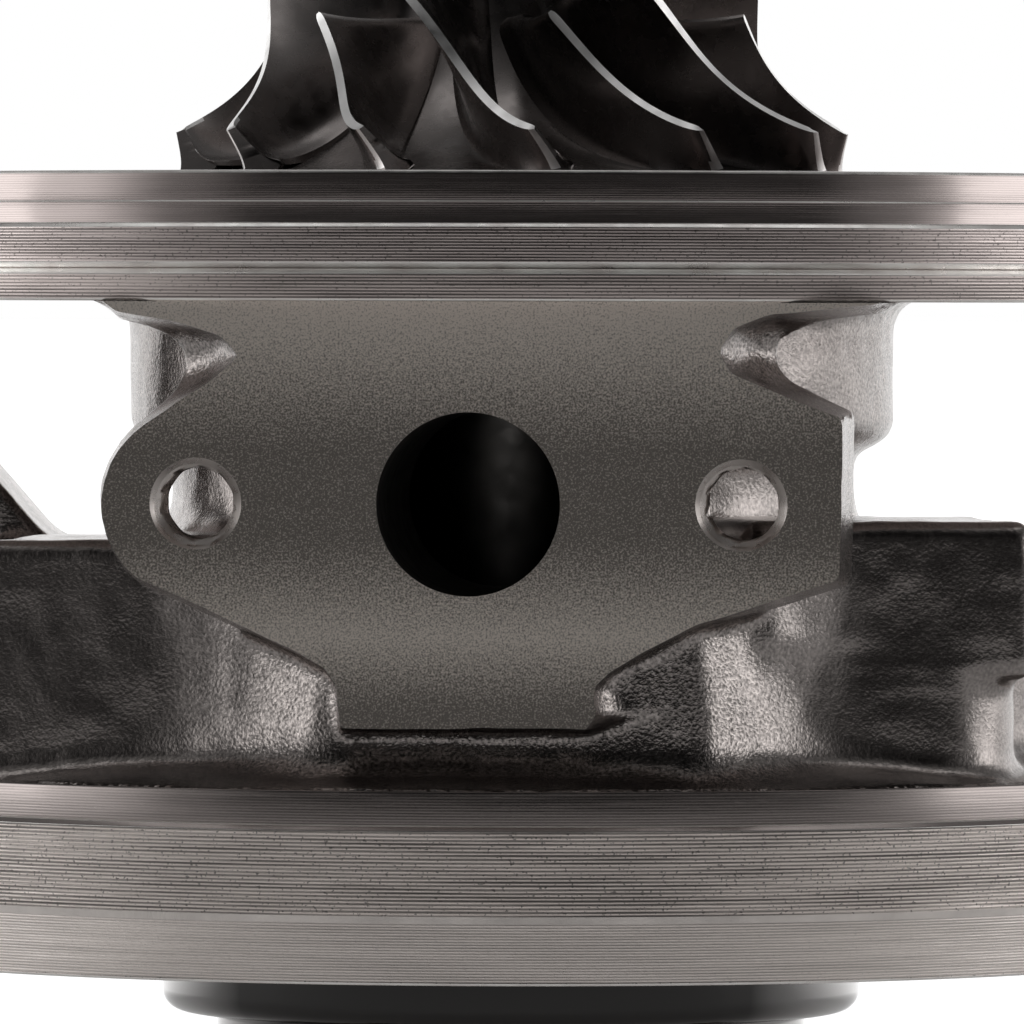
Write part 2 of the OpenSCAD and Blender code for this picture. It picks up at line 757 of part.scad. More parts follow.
module thrust_bearing() {
    pad_turn = 360 / 6;
    cut_h = thrust_bearing_t + 2 * fuse_lap;
    color("goldenrod")
        difference() {
            rotate_extrude()
                ring_band(collar_hub_r + end_float, thrust_recess_r - fit_gap, thrust_seat_z, thrust_top_z);
            translate([0, 0, thrust_seat_z - fuse_lap]) {
                round_axis(2, pin_circle_r)
                    cylinder(r = pin_r + steel_gap, h = cut_h);
                translate([0, gallery_y, 0])
                    cylinder(r = gallery_r, h = cut_h);
                rotate([0, 0, 270 - pad_turn / 2])
                    rotate_extrude(angle = pad_turn)
                        ring_band(thrust_flange_r + 1.5, thrust_recess_r - 2, 0, cut_h);
            }
            for (i = [0 : 5])
                rotate([0, 0, i * pad_turn])
                    translate([collar_hub_r, -0.4, thrust_top_z - 0.25])
                        cube([thrust_flange_r - collar_hub_r - 0.6, 0.8, 1]);
        }
}

module thrust_pins() {
    color("silver")
        translate([0, 0, thrust_seat_z - pin_depth])
            round_axis(2, pin_circle_r)
                cylinder(r = pin_r, h = pin_depth + thrust_bearing_t - end_float);
}

module oil_deflector() {
    wall_r = thrust_recess_r - fit_gap;
    window_h = spigot_z - thrust_top_z - deflector_t + cut_lap;
    color("darkgray")
        difference() {
            rotate_extrude() {
                ring_band(wall_r - deflector_t, wall_r, thrust_top_z, spigot_z);
                ring_band(flinger_disc_r + 0.6, wall_r, deflector_z, spigot_z);
            }
            translate([-thrust_flange_r, -thrust_recess_r - cut_lap, thrust_top_z - cut_lap])
                cube([2 * thrust_flange_r, cut_lap + deflector_t * 2, window_h]);
        }
}

module heat_shield() {
    rim_in = shield_rim_r - shield_t;
    can_in = shield_can_r - shield_t;
    color("lightgray")
        rotate_extrude()
            difference() {
                union() {
                    difference() {
                        ring_band(0, shield_rim_r, -shield_rim_h, shield_seat_d);
                        corner_cut(shield_rim_r, -shield_rim_h, shield_round, -1, 1);
                    }
                    difference() {
                        ring_band(0, shield_can_r, shield_z, -shield_rim_h + fuse_lap);
                        corner_cut(shield_can_r, shield_z, shield_round, -1, 1);
                    }
                }
                difference() {
                    ring_band(0, rim_in, -shield_rim_h + shield_t, cut_lap);
                    corner_cut(rim_in, -shield_rim_h + shield_t, shield_round - shield_t, -1, 1);
                }
                difference() {
                    ring_band(0, can_in, shield_z + shield_t, -shield_rim_h + shield_t + fuse_lap);
                    corner_cut(can_in, shield_z + shield_t, shield_round - shield_t, -1, 1);
                }
                ring_band(0, shield_hole_r, shield_z - cut_lap, 0);
            }
}

// Heights of the circlips, from the turbine end up
function circlip_heights() = [
    turbine_bearing_z - end_float - circlip_t,
    turbine_bearing_z + bearing_l + end_float,
    compressor_bearing_z - end_float - circlip_t,
    compressor_bearing_z + bearing_l + end_float
];

// One circlip, open toward +X
module circlip(index) {
    color("slategray")
        translate([0, 0, circlip_heights()[index]])
            rotate([0, 0, circlip_mouth / 2])
                rotate_extrude(angle = 360 - circlip_mouth)
                    ring_band(circlip_inner_r, circlip_groove_r - seat_gap, 0, circlip_t);
}

// One piston ring with its narrow gap
module piston_ring(bore_r, groove_r, z) {
    ring_gap = 4;
    color("darkslategray")
        translate([0, 0, z + fit_gap])
            rotate([0, 0, ring_gap / 2])
                rotate_extrude(angle = 360 - ring_gap)
                    ring_band(groove_r + fit_gap * 2, bore_r - steel_gap, 0, piston_ring_t - 2 * fit_gap);
}

module compressor_piston_ring() {
    piston_ring(seal_bore_r, flinger_r - piston_ring_groove, compressor_ring_z);
}

module turbine_piston_ring() {
    piston_ring(turbine_seal_r, seal_land_r - piston_ring_groove, turbine_ring_z);
}

// One floating bearing with its oil groove and oil holes
module journal_bearing(z) {
    oil_holes = 6;
    groove = bearing_wall * 0.25;
    color("peru")
        difference() {
            translate([0, 0, z])
                rotate_extrude()
                    difference() {
                        ring_band(journal_r + journal_clearance, bearing_r, 0, bearing_l);
                        ring_band(bearing_r - groove, bearing_r + cut_lap, bearing_l * 0.4, bearing_l * 0.6);
                    }
            translate([0, 0, z + bearing_l / 2])
                for (i = [0 : oil_holes - 1])
                    rotate([0, 90, 360 * i / oil_holes])
                        cylinder(r = bearing_l * 0.07, h = bearing_r + cut_lap);
        }
}

module turbine_journal_bearing() {
    journal_bearing(turbine_bearing_z);
}

module compressor_journal_bearing() {
    journal_bearing(compressor_bearing_z);
}

module rotor_shaft() {
    relief = 0.4;
    land_top = seal_wall_z - 0.6;
    relief_0 = turbine_bearing_z + bearing_l + 2;
    relief_1 = compressor_bearing_z - 2;
    color("silver")
        rotate_extrude()
            difference() {
                union() {
                    band(seal_land_r, turbine_z, land_top, 0, edge_chamfer);
                    band(journal_r, land_top - fuse_lap, shoulder_z);
                    band(stub_r, shoulder_z - fuse_lap, nut_z + stub_proud, 0, edge_chamfer);
                    cove(journal_r, land_top, 1, 1, 1);
                }
                ring_band(journal_r - relief, journal_r + cut_lap, relief_0, relief_1);
                ring_band(seal_land_r - piston_ring_groove, seal_land_r + cut_lap,
                    turbine_ring_z, turbine_ring_z + piston_ring_t);
            }
}

module turbine_wheel() {
    rim = turbine_blade[0][0];
    end = turbine_blade[0][1];
    nose_r = turbine_hub_r - 1.2;
    color("saddlebrown")
        union() {
            rotate_extrude()
                polygon(concat(
                    [[0, turbine_z], [rim.x - 1.5, turbine_z]],
                    [for (i = [0 : hub_steps]) hub_point(turbine_blade, i / hub_steps)],
                    [[nose_r, end.y - turbine_hub_r + nose_r], [0, end.y - turbine_hub_r + nose_r]]
                ));
            translate([0, 0, end.y - turbine_nose_h])
                cylinder(r = nose_r, h = turbine_nose_h, $fn = 6);
            for (i = [0 : turbine_blades - 1])
                rotate([0, 0, 360 * i / turbine_blades])
                    blade_solid(turbine_blade, 1);
        }
}

module thrust_washer() {
    color("lightsteelblue")
        rotate_extrude()
            ring_band(stub_r + steel_gap, thrust_flange_r, shoulder_z, shoulder_z + thrust_flange_t);
}

module thrust_collar() {
    color("lightsteelblue")
        rotate_extrude() {
            ring_band(stub_r + steel_gap, collar_hub_r, shoulder_z + thrust_flange_t, flinger_z);
            ring_band(stub_r + steel_gap, thrust_flange_r, collar_flange_z, flinger_z);
        }
}

module oil_flinger() {
    color("lightsteelblue")
        rotate_extrude()
            difference() {
                union() {
                    ring_band(stub_r + steel_gap, flinger_r, flinger_z, wheel_z);
                    ring_band(stub_r + steel_gap, flinger_disc_r, flinger_z, flinger_z + flinger_disc_t);
                }
                ring_band(flinger_r - piston_ring_groove, flinger_r + cut_lap,
                    compressor_ring_z, compressor_ring_z + piston_ring_t);
            }
}

module compressor_wheel() {
    color("gainsboro")
        rotate([0, 0, wheel_turn])
            union() {
                rotate_extrude()
                    polygon(concat(
                        [[stub_r + steel_gap, wheel_z], [wheel_rim_r, wheel_z]],
                        [for (i = [0 : hub_steps]) hub_point(compressor_blade, i / hub_steps)],
                        [[wheel_nose_r, wheel_end_z], [stub_r + steel_gap, wheel_end_z]]
                    ));
                for (i = [0 : blade_pairs - 1]) {
                    rotate([0, 0, 360 * i / blade_pairs])
                        blade_solid(compressor_blade, 1);
                    rotate([0, 0, 360 * (i + 0.5) / blade_pairs])
                        blade_solid(compressor_blade, splitter_share);
                }
            }
}

module compressor_nut() {
    collar_h = nut_h * 0.2;
    color("dimgray")
        translate([0, 0, wheel_end_z])
            difference() {
                union() {
                    cylinder(r = wheel_nose_r, h = collar_h);
                    intersection() {
                        cylinder(d = nut_w / cos(30), h = nut_h, $fn = 6);
                        rotate_extrude()
                            band(nut_w / 2 / cos(30), 0, nut_h, 0, nut_w / 2 / cos(30) - nut_w / 2);
                    }
                }
                translate([0, 0, -cut_lap])
                    cylinder(r = stub_r + steel_gap, h = nut_h + 2 * cut_lap);
            }
}

bearing_housing();
compressor_backplate();
backplate_oring();
backplate_screws();
thrust_bearing();
thrust_pins();
oil_deflector();
heat_shield();
circlip(0);  // turbine_outer_circlip
circlip(1);  // turbine_inner_circlip
circlip(2);  // compressor_inner_circlip
circlip(3);  // compressor_outer_circlip
compressor_piston_ring();
turbine_piston_ring();
turbine_journal_bearing();
compressor_journal_bearing();
rotor_shaft();
turbine_wheel();
thrust_washer();
thrust_collar();
oil_flinger();
compressor_wheel();
compressor_nut();
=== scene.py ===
"""Looks of the turbo cartridge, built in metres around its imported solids."""
import math

import bmesh
import bpy
import numpy as np
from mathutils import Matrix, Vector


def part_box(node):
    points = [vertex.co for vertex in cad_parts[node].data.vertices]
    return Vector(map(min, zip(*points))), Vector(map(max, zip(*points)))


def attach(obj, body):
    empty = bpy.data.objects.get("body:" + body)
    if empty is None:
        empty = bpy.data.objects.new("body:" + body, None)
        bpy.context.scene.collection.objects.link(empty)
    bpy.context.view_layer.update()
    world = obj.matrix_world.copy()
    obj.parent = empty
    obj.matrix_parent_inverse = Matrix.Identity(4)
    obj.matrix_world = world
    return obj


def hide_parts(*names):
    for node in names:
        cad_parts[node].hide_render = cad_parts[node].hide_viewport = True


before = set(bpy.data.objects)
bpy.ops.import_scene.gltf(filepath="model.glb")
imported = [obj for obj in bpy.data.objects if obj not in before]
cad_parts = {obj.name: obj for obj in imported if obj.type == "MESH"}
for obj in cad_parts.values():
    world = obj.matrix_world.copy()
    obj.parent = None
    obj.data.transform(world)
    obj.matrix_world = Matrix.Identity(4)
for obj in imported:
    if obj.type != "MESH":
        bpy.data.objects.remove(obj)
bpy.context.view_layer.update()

import openvdb
from mathutils import Matrix, Vector

MM = 0.001
SEED = 11
ROUND_STEPS = 320


# Sizes in millimetres: what the frame gives first, then those of the photographed part

def low(node):
    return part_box(node)[0] / MM


def high(node):
    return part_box(node)[1] / MM


FLOOR_Z = low("turbine_wheel").z
HOUSING_TOP = high("bearing_housing").z
FLANGE_R = high("compressor_backplate").x
BACKPLATE_TOP = high("compressor_backplate").z
SPIGOT_Z = low("compressor_backplate").z
WHEEL_Z = low("compressor_wheel").z
WHEEL_END_Z = high("compressor_wheel").z
TURBINE_Z = high("turbine_wheel").z
SHIELD_R = high("heat_shield").x
SHIELD_Z = low("heat_shield").z
SHIELD_TOP = high("heat_shield").z
NOSE_Z = low("bearing_housing").z

FLANGE_Z = 47.4
NECK_R, NECK_Z = 28.0, 36.8
WAIST_R = 25.0
DRUM_R, DRUM_TOP, DRUM_FOOT = 43.0, 29.7, 15.3
RIM_R, LAND_R, PILOT_R = 51.4, 50.6, 51.28
RIM_TOP, LAND_TOP, PILOT_TOP = 11.1, 13.45, 4.8
RIM_CHAMFER, STEP_H = 0.4, 0.5
DRAIN_Y, DRAIN_Z, DRAIN_R = -47.9, 33.3, 6.4
BOLT_X, BOLT_R, THREAD_PITCH = 19.0, 2.5, 1.0
LUG_R, LUG_T = 6.6, 7.0
DUCT_R = 10.9
INLET_Y, INLET_R, INLET_DEPTH = 45.0, 4.5, 10.0
INLET_BOSS_R = 8.5
RECESS_R, RECESS_Z = 25.1, 55.6
PLATE_PILOT_R, PLATE_PILOT_Z = 52.3, 52.8
SPIGOT_R = 17.95
SEAL_BORE_R = 6.4
SCREW_RING, SCREW_HOLE_R, SCREW_HEAD_R, SCREW_HEAD_H, SCREW_END_Z = 21.3, 1.55, 2.93, 1.38, 43.57
SHAFT_HOLE_R = 2.52
FLANGE_CHAMFER, PLATE_CHAMFER, PILOT_CHAMFER = 0.35, 0.45, 0.25

# Bores of the housing and the backplate, from the turbine's side up
TURBINE_SEAL_R, SEAL_WALL_Z = 7.6, 2.6
TUBE_R, TUBE_Z, BEARING_R, CHAMBER_R = 9.48, 4.6, 5.38, 17.0
WASHER_ROOM_R, WASHER_ROOM_Z = 8.8, 39.65
THRUST_R, THRUST_Z = 18.0, 41.95
CIRCLIP_GROOVE_R, FIT_GAP = 6.03, 0.05
PIN_HOLE_R, PIN_RING, PIN_DEPTH = 1.02, 13.4, 3.0
GALLERY_R, THREAD_DEPTH = 1.2, 0.5
MOUTH_R, MOUTH_DEPTH = 3.7, 1.4
FLINGER_ROOM_R, FLINGER_ROOM_Z = 8.4, 48.05
ORING_GROOVE_R, ORING_GROOVE_Z, ORING_GROOVE_T = 16.78, 47.67, 1.3


# Meshes

def add_mesh(name, points, faces):
    """A new object from points in millimetres."""
    mesh = bpy.data.meshes.new(name)
    mesh.from_pydata((np.asarray(points, float) * MM).tolist(), [], faces)
    mesh.validate()
    mesh.update()
    piece = bpy.data.objects.new(name, mesh)
    bpy.context.scene.collection.objects.link(piece)
    return piece


def face_outward(piece):
    """Turns the faces over if the mesh is inside out."""
    form = bmesh.new()
    form.from_mesh(piece.data)
    if form.calc_volume(signed=True) < 0:
        piece.data.flip_normals()
    form.free()
    return piece


def rounded(corners, steps=4):
    """A profile whose corners (r, z, radius) become arcs."""
    corners = [(c + (0,))[:3] for c in corners]
    out = []
    for i, (r, z, size) in enumerate(corners):
        here = np.array([r, z])
        back = np.array(corners[i - 1][:2]) - here
        ahead = np.array(corners[(i + 1) % len(corners)][:2]) - here
        if size <= 0:
            out.append(here)
            continue
        back, ahead = back / np.linalg.norm(back), ahead / np.linalg.norm(ahead)
        half = math.acos(np.clip(back @ ahead, -1, 1)) / 2
        middle = (back + ahead) / np.linalg.norm(back + ahead)
        centre = here + middle * size / math.sin(half)
        first = here + back * size / math.tan(half) - centre
        last = here + ahead * size / math.tan(half) - centre
        for k in range(steps + 1):
            blend = first * (1 - k / steps) + last * (k / steps)
            out.append(centre + blend / np.linalg.norm(blend) * size)
    return np.array(out)


def revolve(name, profile, steps=ROUND_STEPS, start=0.0, span=360.0):
    """A solid of revolution about Z. A profile that starts and ends on the axis closes there."""
    profile = np.asarray(profile, float)
    poles = profile[0, 0] == 0 and profile[-1, 0] == 0
    ring = profile[1:-1] if poles else profile
    whole = span == 360
    turn = np.radians(start + np.linspace(0, span, steps + (not whole), endpoint=not whole))
    columns, rows = len(turn), len(ring)
    points = np.stack([
        np.outer(ring[:, 0], np.sin(turn)),
        -np.outer(ring[:, 0], np.cos(turn)),
        np.repeat(ring[:, 1:2], columns, 1),
    ], -1).reshape(-1, 3)
    faces = []
    for i in range(rows - poles):
        below, above = i * columns, (i + 1) % rows * columns
        for j in range(steps):
            k = (j + 1) % columns
            faces.append((below + j, below + k, above + k, above + j))
    if poles:
        points = np.vstack([points, [[0, 0, profile[0, 1]], [0, 0, profile[-1, 1]]]])
        last = (rows - 1) * columns
        for j in range(steps):
            k = (j + 1) % columns
            faces.append((rows * columns, k, j))
            faces.append((rows * columns + 1, last + j, last + k))
    if not whole:
        faces.append(tuple(i * columns for i in range(rows)))
        faces.append(tuple(i * columns + steps for i in range(rows))[::-1])
    return face_outward(add_mesh(name, points, faces))


def ring(name, r0, r1, z0, z1, steps=96, start=0.0, span=360.0):
    """A ring of square section, or a part of one, used as a cutter."""
    return revolve(name, [(r0, z0), (r1, z0), (r1, z1), (r0, z1)], steps, start, span)


def block(name, lo, hi):
    """A box between two corners, used as a cutter."""
    points = [(x, y, z) for x in (lo[0], hi[0]) for y in (lo[1], hi[1]) for z in (lo[2], hi[2])]
    faces = [(0, 1, 3, 2), (4, 6, 7, 5), (0, 4, 5, 1), (2, 3, 7, 6), (0, 2, 6, 4), (1, 5, 7, 3)]
    return face_outward(add_mesh(name, points, faces))


def aim(piece, place, axis):
    """Moves a tool made along +Z to a place and turns it along an axis."""
    turn = Vector(axis).to_track_quat("Z", "Y").to_matrix().to_4x4()
    piece.data.transform(turn)
    piece.data.transform(Matrix.Translation(Vector(place) * MM))
    return piece


def rod(name, r, length, steps=96, r_end=None):
    """A round tool along +Z, which may taper."""
    return revolve(name, [(0, 0), (r, 0), (r_end or r, length), (0, length)], steps)


def thread_tool(name, r, depth, pitch, length, steps=72):
    """A round tool with a helical ridge, which leaves a thread in its hole."""
    per_pitch = 10
    rows = int(length / pitch * per_pitch) + 1
    turn = np.linspace(0, 2 * math.pi, steps, endpoint=False)
    z = np.linspace(0, length, rows)
    phase = (z[:, None] / pitch - turn[None, :] / (2 * math.pi)) % 1
    ridge = np.clip(1.25 - np.abs(phase - 0.5) * 2.5, 0, 1)
    radius = r + depth * ridge
    points = np.stack([
        radius * np.cos(turn), radius * np.sin(turn), np.repeat(z[:, None], steps, 1)
    ], -1).reshape(-1, 3)
    points = np.vstack([points, [[0, 0, 0], [0, 0, length]]])
    faces = []
    for j in range(steps):
        k = (j + 1) % steps
        for i in range(rows - 1):
            faces.append((i * steps + j, i * steps + k, (i + 1) * steps + k, (i + 1) * steps + j))
        faces.append((rows * steps, k, j))
        faces.append((rows * steps + 1, (rows - 1) * steps + j, (rows - 1) * steps + k))
    return face_outward(add_mesh(name, points, faces))


def combine(piece, tool, operation):
    """Unites, cuts or intersects two closed meshes and removes the tool."""
    step = piece.modifiers.new("combine", "BOOLEAN")
    step.operation = operation
    step.solver = "MANIFOLD"
    step.object = tool
    view = bpy.context.evaluated_depsgraph_get()
    mesh = bpy.data.meshes.new_from_object(piece.evaluated_get(view))
    before = piece.data
    piece.modifiers.clear()
    piece.data = mesh
    unchanged = len(mesh.vertices) == len(before.vertices)
    bpy.data.meshes.remove(before)
    bpy.data.objects.remove(tool)
    if unchanged:
        raise RuntimeError(f"{piece.name}: {operation} changed nothing")
    return piece


def unite(pieces):
    """All pieces as one closed mesh."""
    first = pieces[0]
    for other in pieces[1:]:
        combine(first, other, "UNION")
    return first


def paint(piece, base, rules=None):
    """Gives every face the base material, then the faces that a rule picks that rule's own. The rules are
    (faces, material), made from the faces' centres in millimetres and their normals."""
    mesh = piece.data
    count = len(mesh.polygons)
    centre, normal = np.zeros(count * 3), np.zeros(count * 3)
    mesh.polygons.foreach_get("center", centre)
    mesh.polygons.foreach_get("normal", normal)
    index = np.zeros(count, np.int32)
    materials = [base]
    for faces, material in rules(centre.reshape(-1, 3) / MM, normal.reshape(-1, 3)) if rules else ():
        if material not in materials:
            materials.append(material)
        index[faces] = materials.index(material)
    mesh.materials.clear()
    for material in materials:
        mesh.materials.append(material)
    mesh.polygons.foreach_set("material_index", index)
    mesh.update()


def shade(piece, angle):
    """Smooth shading with edges sharper than the angle kept."""
    piece.data.shade_smooth()
    piece.data.set_sharp_from_angle(angle=math.radians(angle))


# Shader nodes

def add_node(tree, kind, inputs=None, **settings):
    """A new shader node. Its inputs are values, or sockets to link."""
    made = tree.nodes.new(kind)
    for key, value in settings.items():
        setattr(made, key, value)
    for key, value in (inputs or {}).items():
        if isinstance(value, bpy.types.NodeSocket):
            tree.links.new(value, made.inputs[key])
        else:
            made.inputs[key].default_value = value
    return made


class Finish:
    """A Principled material with short calls to add nodes."""

    def __init__(self, name, colour, metallic, roughness):
        self.material = bpy.data.materials.new(name)
        self.material.use_nodes = True
        self.tree = self.material.node_tree
        self.shader = self.tree.nodes["Principled BSDF"]
        for key, value in (("Base Color", (*colour, 1)), ("Metallic", metallic), ("Roughness", roughness)):
            self.shader.inputs[key].default_value = value
        self.colour = colour
        self.place = self.node("ShaderNodeTexCoord").outputs["Object"]

    def node(self, kind, inputs=None, **settings):
        return add_node(self.tree, kind, inputs, **settings)

    def math(self, operation, a, b=0.0):
        return self.node("ShaderNodeMath", {0: a, 1: b}, operation=operation).outputs[0]

    def along(self, axis):
        """The place along an axis, in metres."""
        return self.node("ShaderNodeSeparateXYZ", {0: self.place}).outputs[axis]

    def round_place(self):
        """X, Y and Z, and the distance from the Z axis, in metres."""
        x, y, z = self.node("ShaderNodeSeparateXYZ", {0: self.place}).outputs
        squares = self.math("ADD", self.math("MULTIPLY", x, x), self.math("MULTIPLY", y, y))
        return x, y, z, self.math("SQRT", squares)

    def noise(self, size, detail=3.0, where=None):
        """Noise whose features measure about size millimetres, from 0 to 1."""
        inputs = {"Vector": where or self.place, "Scale": 1 / (size * MM), "Detail": detail}
        return self.node("ShaderNodeTexNoise", inputs).outputs["Fac"]

    def stretch(self, value, low_end, high_end, to_low=0.0, to_high=1.0):
        """Maps one stretch of values to another, and no further."""
        inputs = {"Value": value, "From Min": low_end, "From Max": high_end,
                  "To Min": to_low, "To Max": to_high}
        return self.node("ShaderNodeMapRange", inputs).outputs["Result"]

    def bump(self, height, depth):
        """Adds relief of a depth in millimetres under what is there already."""
        inputs = {"Height": height, "Distance": depth * MM, "Strength": 1.0}
        socket = self.shader.inputs["Normal"]
        if socket.is_linked:
            inputs["Normal"] = socket.links[0].from_socket
        self.tree.links.new(self.node("ShaderNodeBump", inputs).outputs["Normal"], socket)

    def tint(self, value, dark, light):
        """Lets the base colour run from dark to light multiples of itself."""
        ends = [tuple(min(1, c * k) for c in self.colour) + (1,) for k in (dark, light)]
        mix = self.node("ShaderNodeMix", {"Factor": value, 6: ends[0], 7: ends[1]}, data_type="RGBA")
        self.tree.links.new(mix.outputs[2], self.shader.inputs["Base Color"])

    def rough(self, value, least, most):
        result = self.stretch(value, 0, 1, least, most)
        self.tree.links.new(result, self.shader.inputs["Roughness"])

    def turned_rings(self):
        """A coordinate across a lathe's tool marks, and a place that draws noise out along them."""
        x, y, z, radius = self.round_place()
        across = self.math("ADD", z, radius)
        slow = 0.0016
        side = self.math("MULTIPLY", self.math("DIVIDE", x, radius), slow)
        front = self.math("MULTIPLY", self.math("DIVIDE", y, radius), slow)
        where = self.node("ShaderNodeCombineXYZ", {0: side, 1: front, 2: across}).outputs[0]
        return across, where


def cast_iron():
    """Sand-cast surface: pebbled, warm grey, glinting on its grains, which are coarse on the drain flange
    and at the back and finer between them. Its colour has painted glints on the grains and painted shade
    between them."""
    f = Finish("cast_iron", (0.3, 0.2715, 0.258), 1.0, 0.3)
    y = f.along("Y")
    near = f.stretch(y, -37.5 * MM, -43 * MM, 0.4, 1)
    far = f.stretch(y, -28 * MM, -5 * MM, 0.2, 0.8)
    coarse = f.math("MAXIMUM", near, far)
    grain = f.math("MULTIPLY", f.math("SUBTRACT", f.noise(0.24, 2), 0.5), coarse)
    f.bump(grain, 0.06)
    f.bump(f.noise(1.3, 2), 0.02)
    f.rough(f.noise(0.9, 3), 0.16, 0.26)
    # Painted glint and shade: the colour is lighter on the grains' tops and darker in the hollows between
    # them; the patches are random tone.
    patches = f.math("MULTIPLY", f.math("SUBTRACT", f.noise(2.6, 4), 0.5), 0.15)
    f.tint(f.stretch(f.math("ADD", grain, patches), -0.25, 0.25), 0.2, 1.7)
    return f.material


def turned_steel(name, colour, pitch, groove, roughness, contrast, metallic=1.0):
    """Lathe-turned metal with tool marks of a given pitch, lighter on their crests as a painted highlight.
    """
    f = Finish(name, colour, metallic, roughness)
    across, where = f.turned_rings()
    line = f.math("SINE", f.math("MULTIPLY", across, 2 * math.pi / (pitch * MM)))
    f.bump(line, groove)
    streak = f.noise(0.22, 4, where)
    f.bump(streak, groove * 2)
    f.rough(f.stretch(streak, 0.3, 0.7), roughness * 0.8, roughness * 1.35)
    waver = f.stretch(f.noise(0.5, 3, where), 0.3, 0.7, -0.7, 0.7)
    # Painted highlight on the tool marks' crests and painted shade in their grooves; the pits are random
    # darker specks.
    crest_highlight = f.stretch(f.math("ADD", line, waver), -1.3, 0.5)
    pits = f.stretch(f.noise(0.2, 1), 0.3, 0.36, 1 - contrast, 1)
    f.tint(f.math("MULTIPLY", crest_highlight, pits), 1 - contrast, 1 + contrast / 2)
    return f.material


def shield_steel():
    """Pressed and polished steel, with a painted reflection that makes it brighter toward its sides."""
    f = Finish("shield_steel", (0.062, 0.06, 0.059), 1.0, 0.08)
    x, _, _, radius = f.round_place()
    side = f.math("ABSOLUTE", f.math("DIVIDE", x, radius))
    f.bump(f.noise(0.6, 3), 0.0012)
    f.rough(f.noise(2.0, 4), 0.04, 0.12)
    # Painted reflection: the colour runs from dark at the front to light at the left and right sides.
    f.tint(f.stretch(side, 0.72, 1), 0.75, 6.5)
    return f.material


def milled_iron():
    """Face-milled iron: flat, finely grained, darker across the level of the bolts as painted shade, and
    lighter above and below as painted light.
    """
    f = Finish("milled_iron", (0.225, 0.204, 0.185), 0.9, 0.4)
    grain = f.noise(0.14, 2)
    f.bump(grain, 0.012)
    f.rough(f.noise(0.3, 3), 0.34, 0.5)
    z = f.along("Z")
    speckle = f.stretch(grain, 0.3, 0.7, -0.6, 0.6)
    # Painted light and shade: lighter toward the top and in a band below the bolts, darker across the
    # bolts' level and at the bottom.
    upper = f.stretch(z, 37 * MM, 46 * MM)
    lower = f.math("MULTIPLY", f.stretch(z, 31 * MM, 24 * MM), f.stretch(z, 19 * MM, 24 * MM, 0, 0.85))
    f.tint(f.math("ADD", f.math("ADD", upper, lower), speckle), 0.95, 3.5)
    return f.material


def fine_metal(name, colour, roughness, mark=0.004, metallic=1.0):
    """Machined metal with fine marks and slight stains."""
    f = Finish(name, colour, metallic, roughness)
    f.bump(f.noise(0.12, 3), mark)
    f.rough(f.stretch(f.noise(1.5, 4), 0.3, 0.7), roughness * 0.8, roughness * 1.4)
    f.tint(f.stretch(f.noise(3.5, 4), 0.3, 0.7), 0.85, 1.1)
    return f.material


def rubber():
    """Moulded rubber with a dull skin."""
    f = Finish("seal_rubber", (0.02, 0.02, 0.022), 0.0, 0.55)
    f.bump(f.noise(0.3, 3), 0.01)
    f.rough(f.noise(0.8, 3), 0.45, 0.65)
    return f.material


CAST = cast_iron()
MILLED = milled_iron()
TURNED_UPPER = turned_steel("turned_plate", (0.46, 0.402, 0.385), 0.21, 0.007, 0.3, 0.75, 0.92)
TURNED_FLANGE = turned_steel("turned_flange", (0.52, 0.455, 0.432), 0.23, 0.009, 0.34, 0.65, 0.75)
TURNED_SMOOTH = turned_steel("turned_seat", (0.42, 0.365, 0.35), 0.16, 0.0005, 0.14, 0.2)
TURNED_LOWER = turned_steel("turned_rim", (0.71, 0.638, 0.596), 0.262, 0.03, 0.36, 0.8, 0.45)
TURNED_PILOT = turned_steel("turned_pilot", (0.87, 0.79, 0.742), 0.2, 0.015, 0.36, 0.3, 0.3)
TURNED_LAND = turned_steel("turned_land", (0.32, 0.283, 0.27), 0.2, 0.0008, 0.22, 0.25)
# Painted highlight: a near-white copy of the turned metal, for the chamfers and rounded edges.
EDGE_HIGHLIGHT = fine_metal("edge_highlight", (0.95, 0.9, 0.87), 0.3, 0.004)
# Painted highlight: a pale copy of the turned metal for the rim's top edge and the step above the pilot.
RIM_HIGHLIGHT = fine_metal("rim_highlight", (0.9, 0.83, 0.785), 0.36, 0.002, 0.15)
TAPPED = fine_metal("tapped_iron", (0.62, 0.57, 0.54), 0.26)
BORE = fine_metal("bored_iron", (0.2, 0.19, 0.18), 0.35)
WHEEL = fine_metal("wheel_aluminium", (0.22, 0.2, 0.193), 0.24, 0.001)
# Machined tip edges, near-white as a painted highlight against the darker wheel.
TIP = fine_metal("wheel_tip", (0.86, 0.85, 0.84), 0.38, 0.004)
TURBINE = fine_metal("turbine_alloy", (0.3, 0.27, 0.24), 0.34, 0.008)
SHIELD = shield_steel()
SHAFT = fine_metal("shaft_steel", (0.5, 0.49, 0.48), 0.2)
BRONZE = fine_metal("bearing_bronze", (0.56, 0.36, 0.17), 0.28)
SPRING = fine_metal("spring_steel", (0.22, 0.22, 0.23), 0.35)
PRESSED = fine_metal("pressed_steel", (0.4, 0.39, 0.37), 0.32)
NUT = fine_metal("nut_steel", (0.2, 0.19, 0.185), 0.34)
SCREW = fine_metal("screw_steel", (0.42, 0.41, 0.4), 0.3)
RUBBER = rubber()


# The casting as a field of distances in millimetres

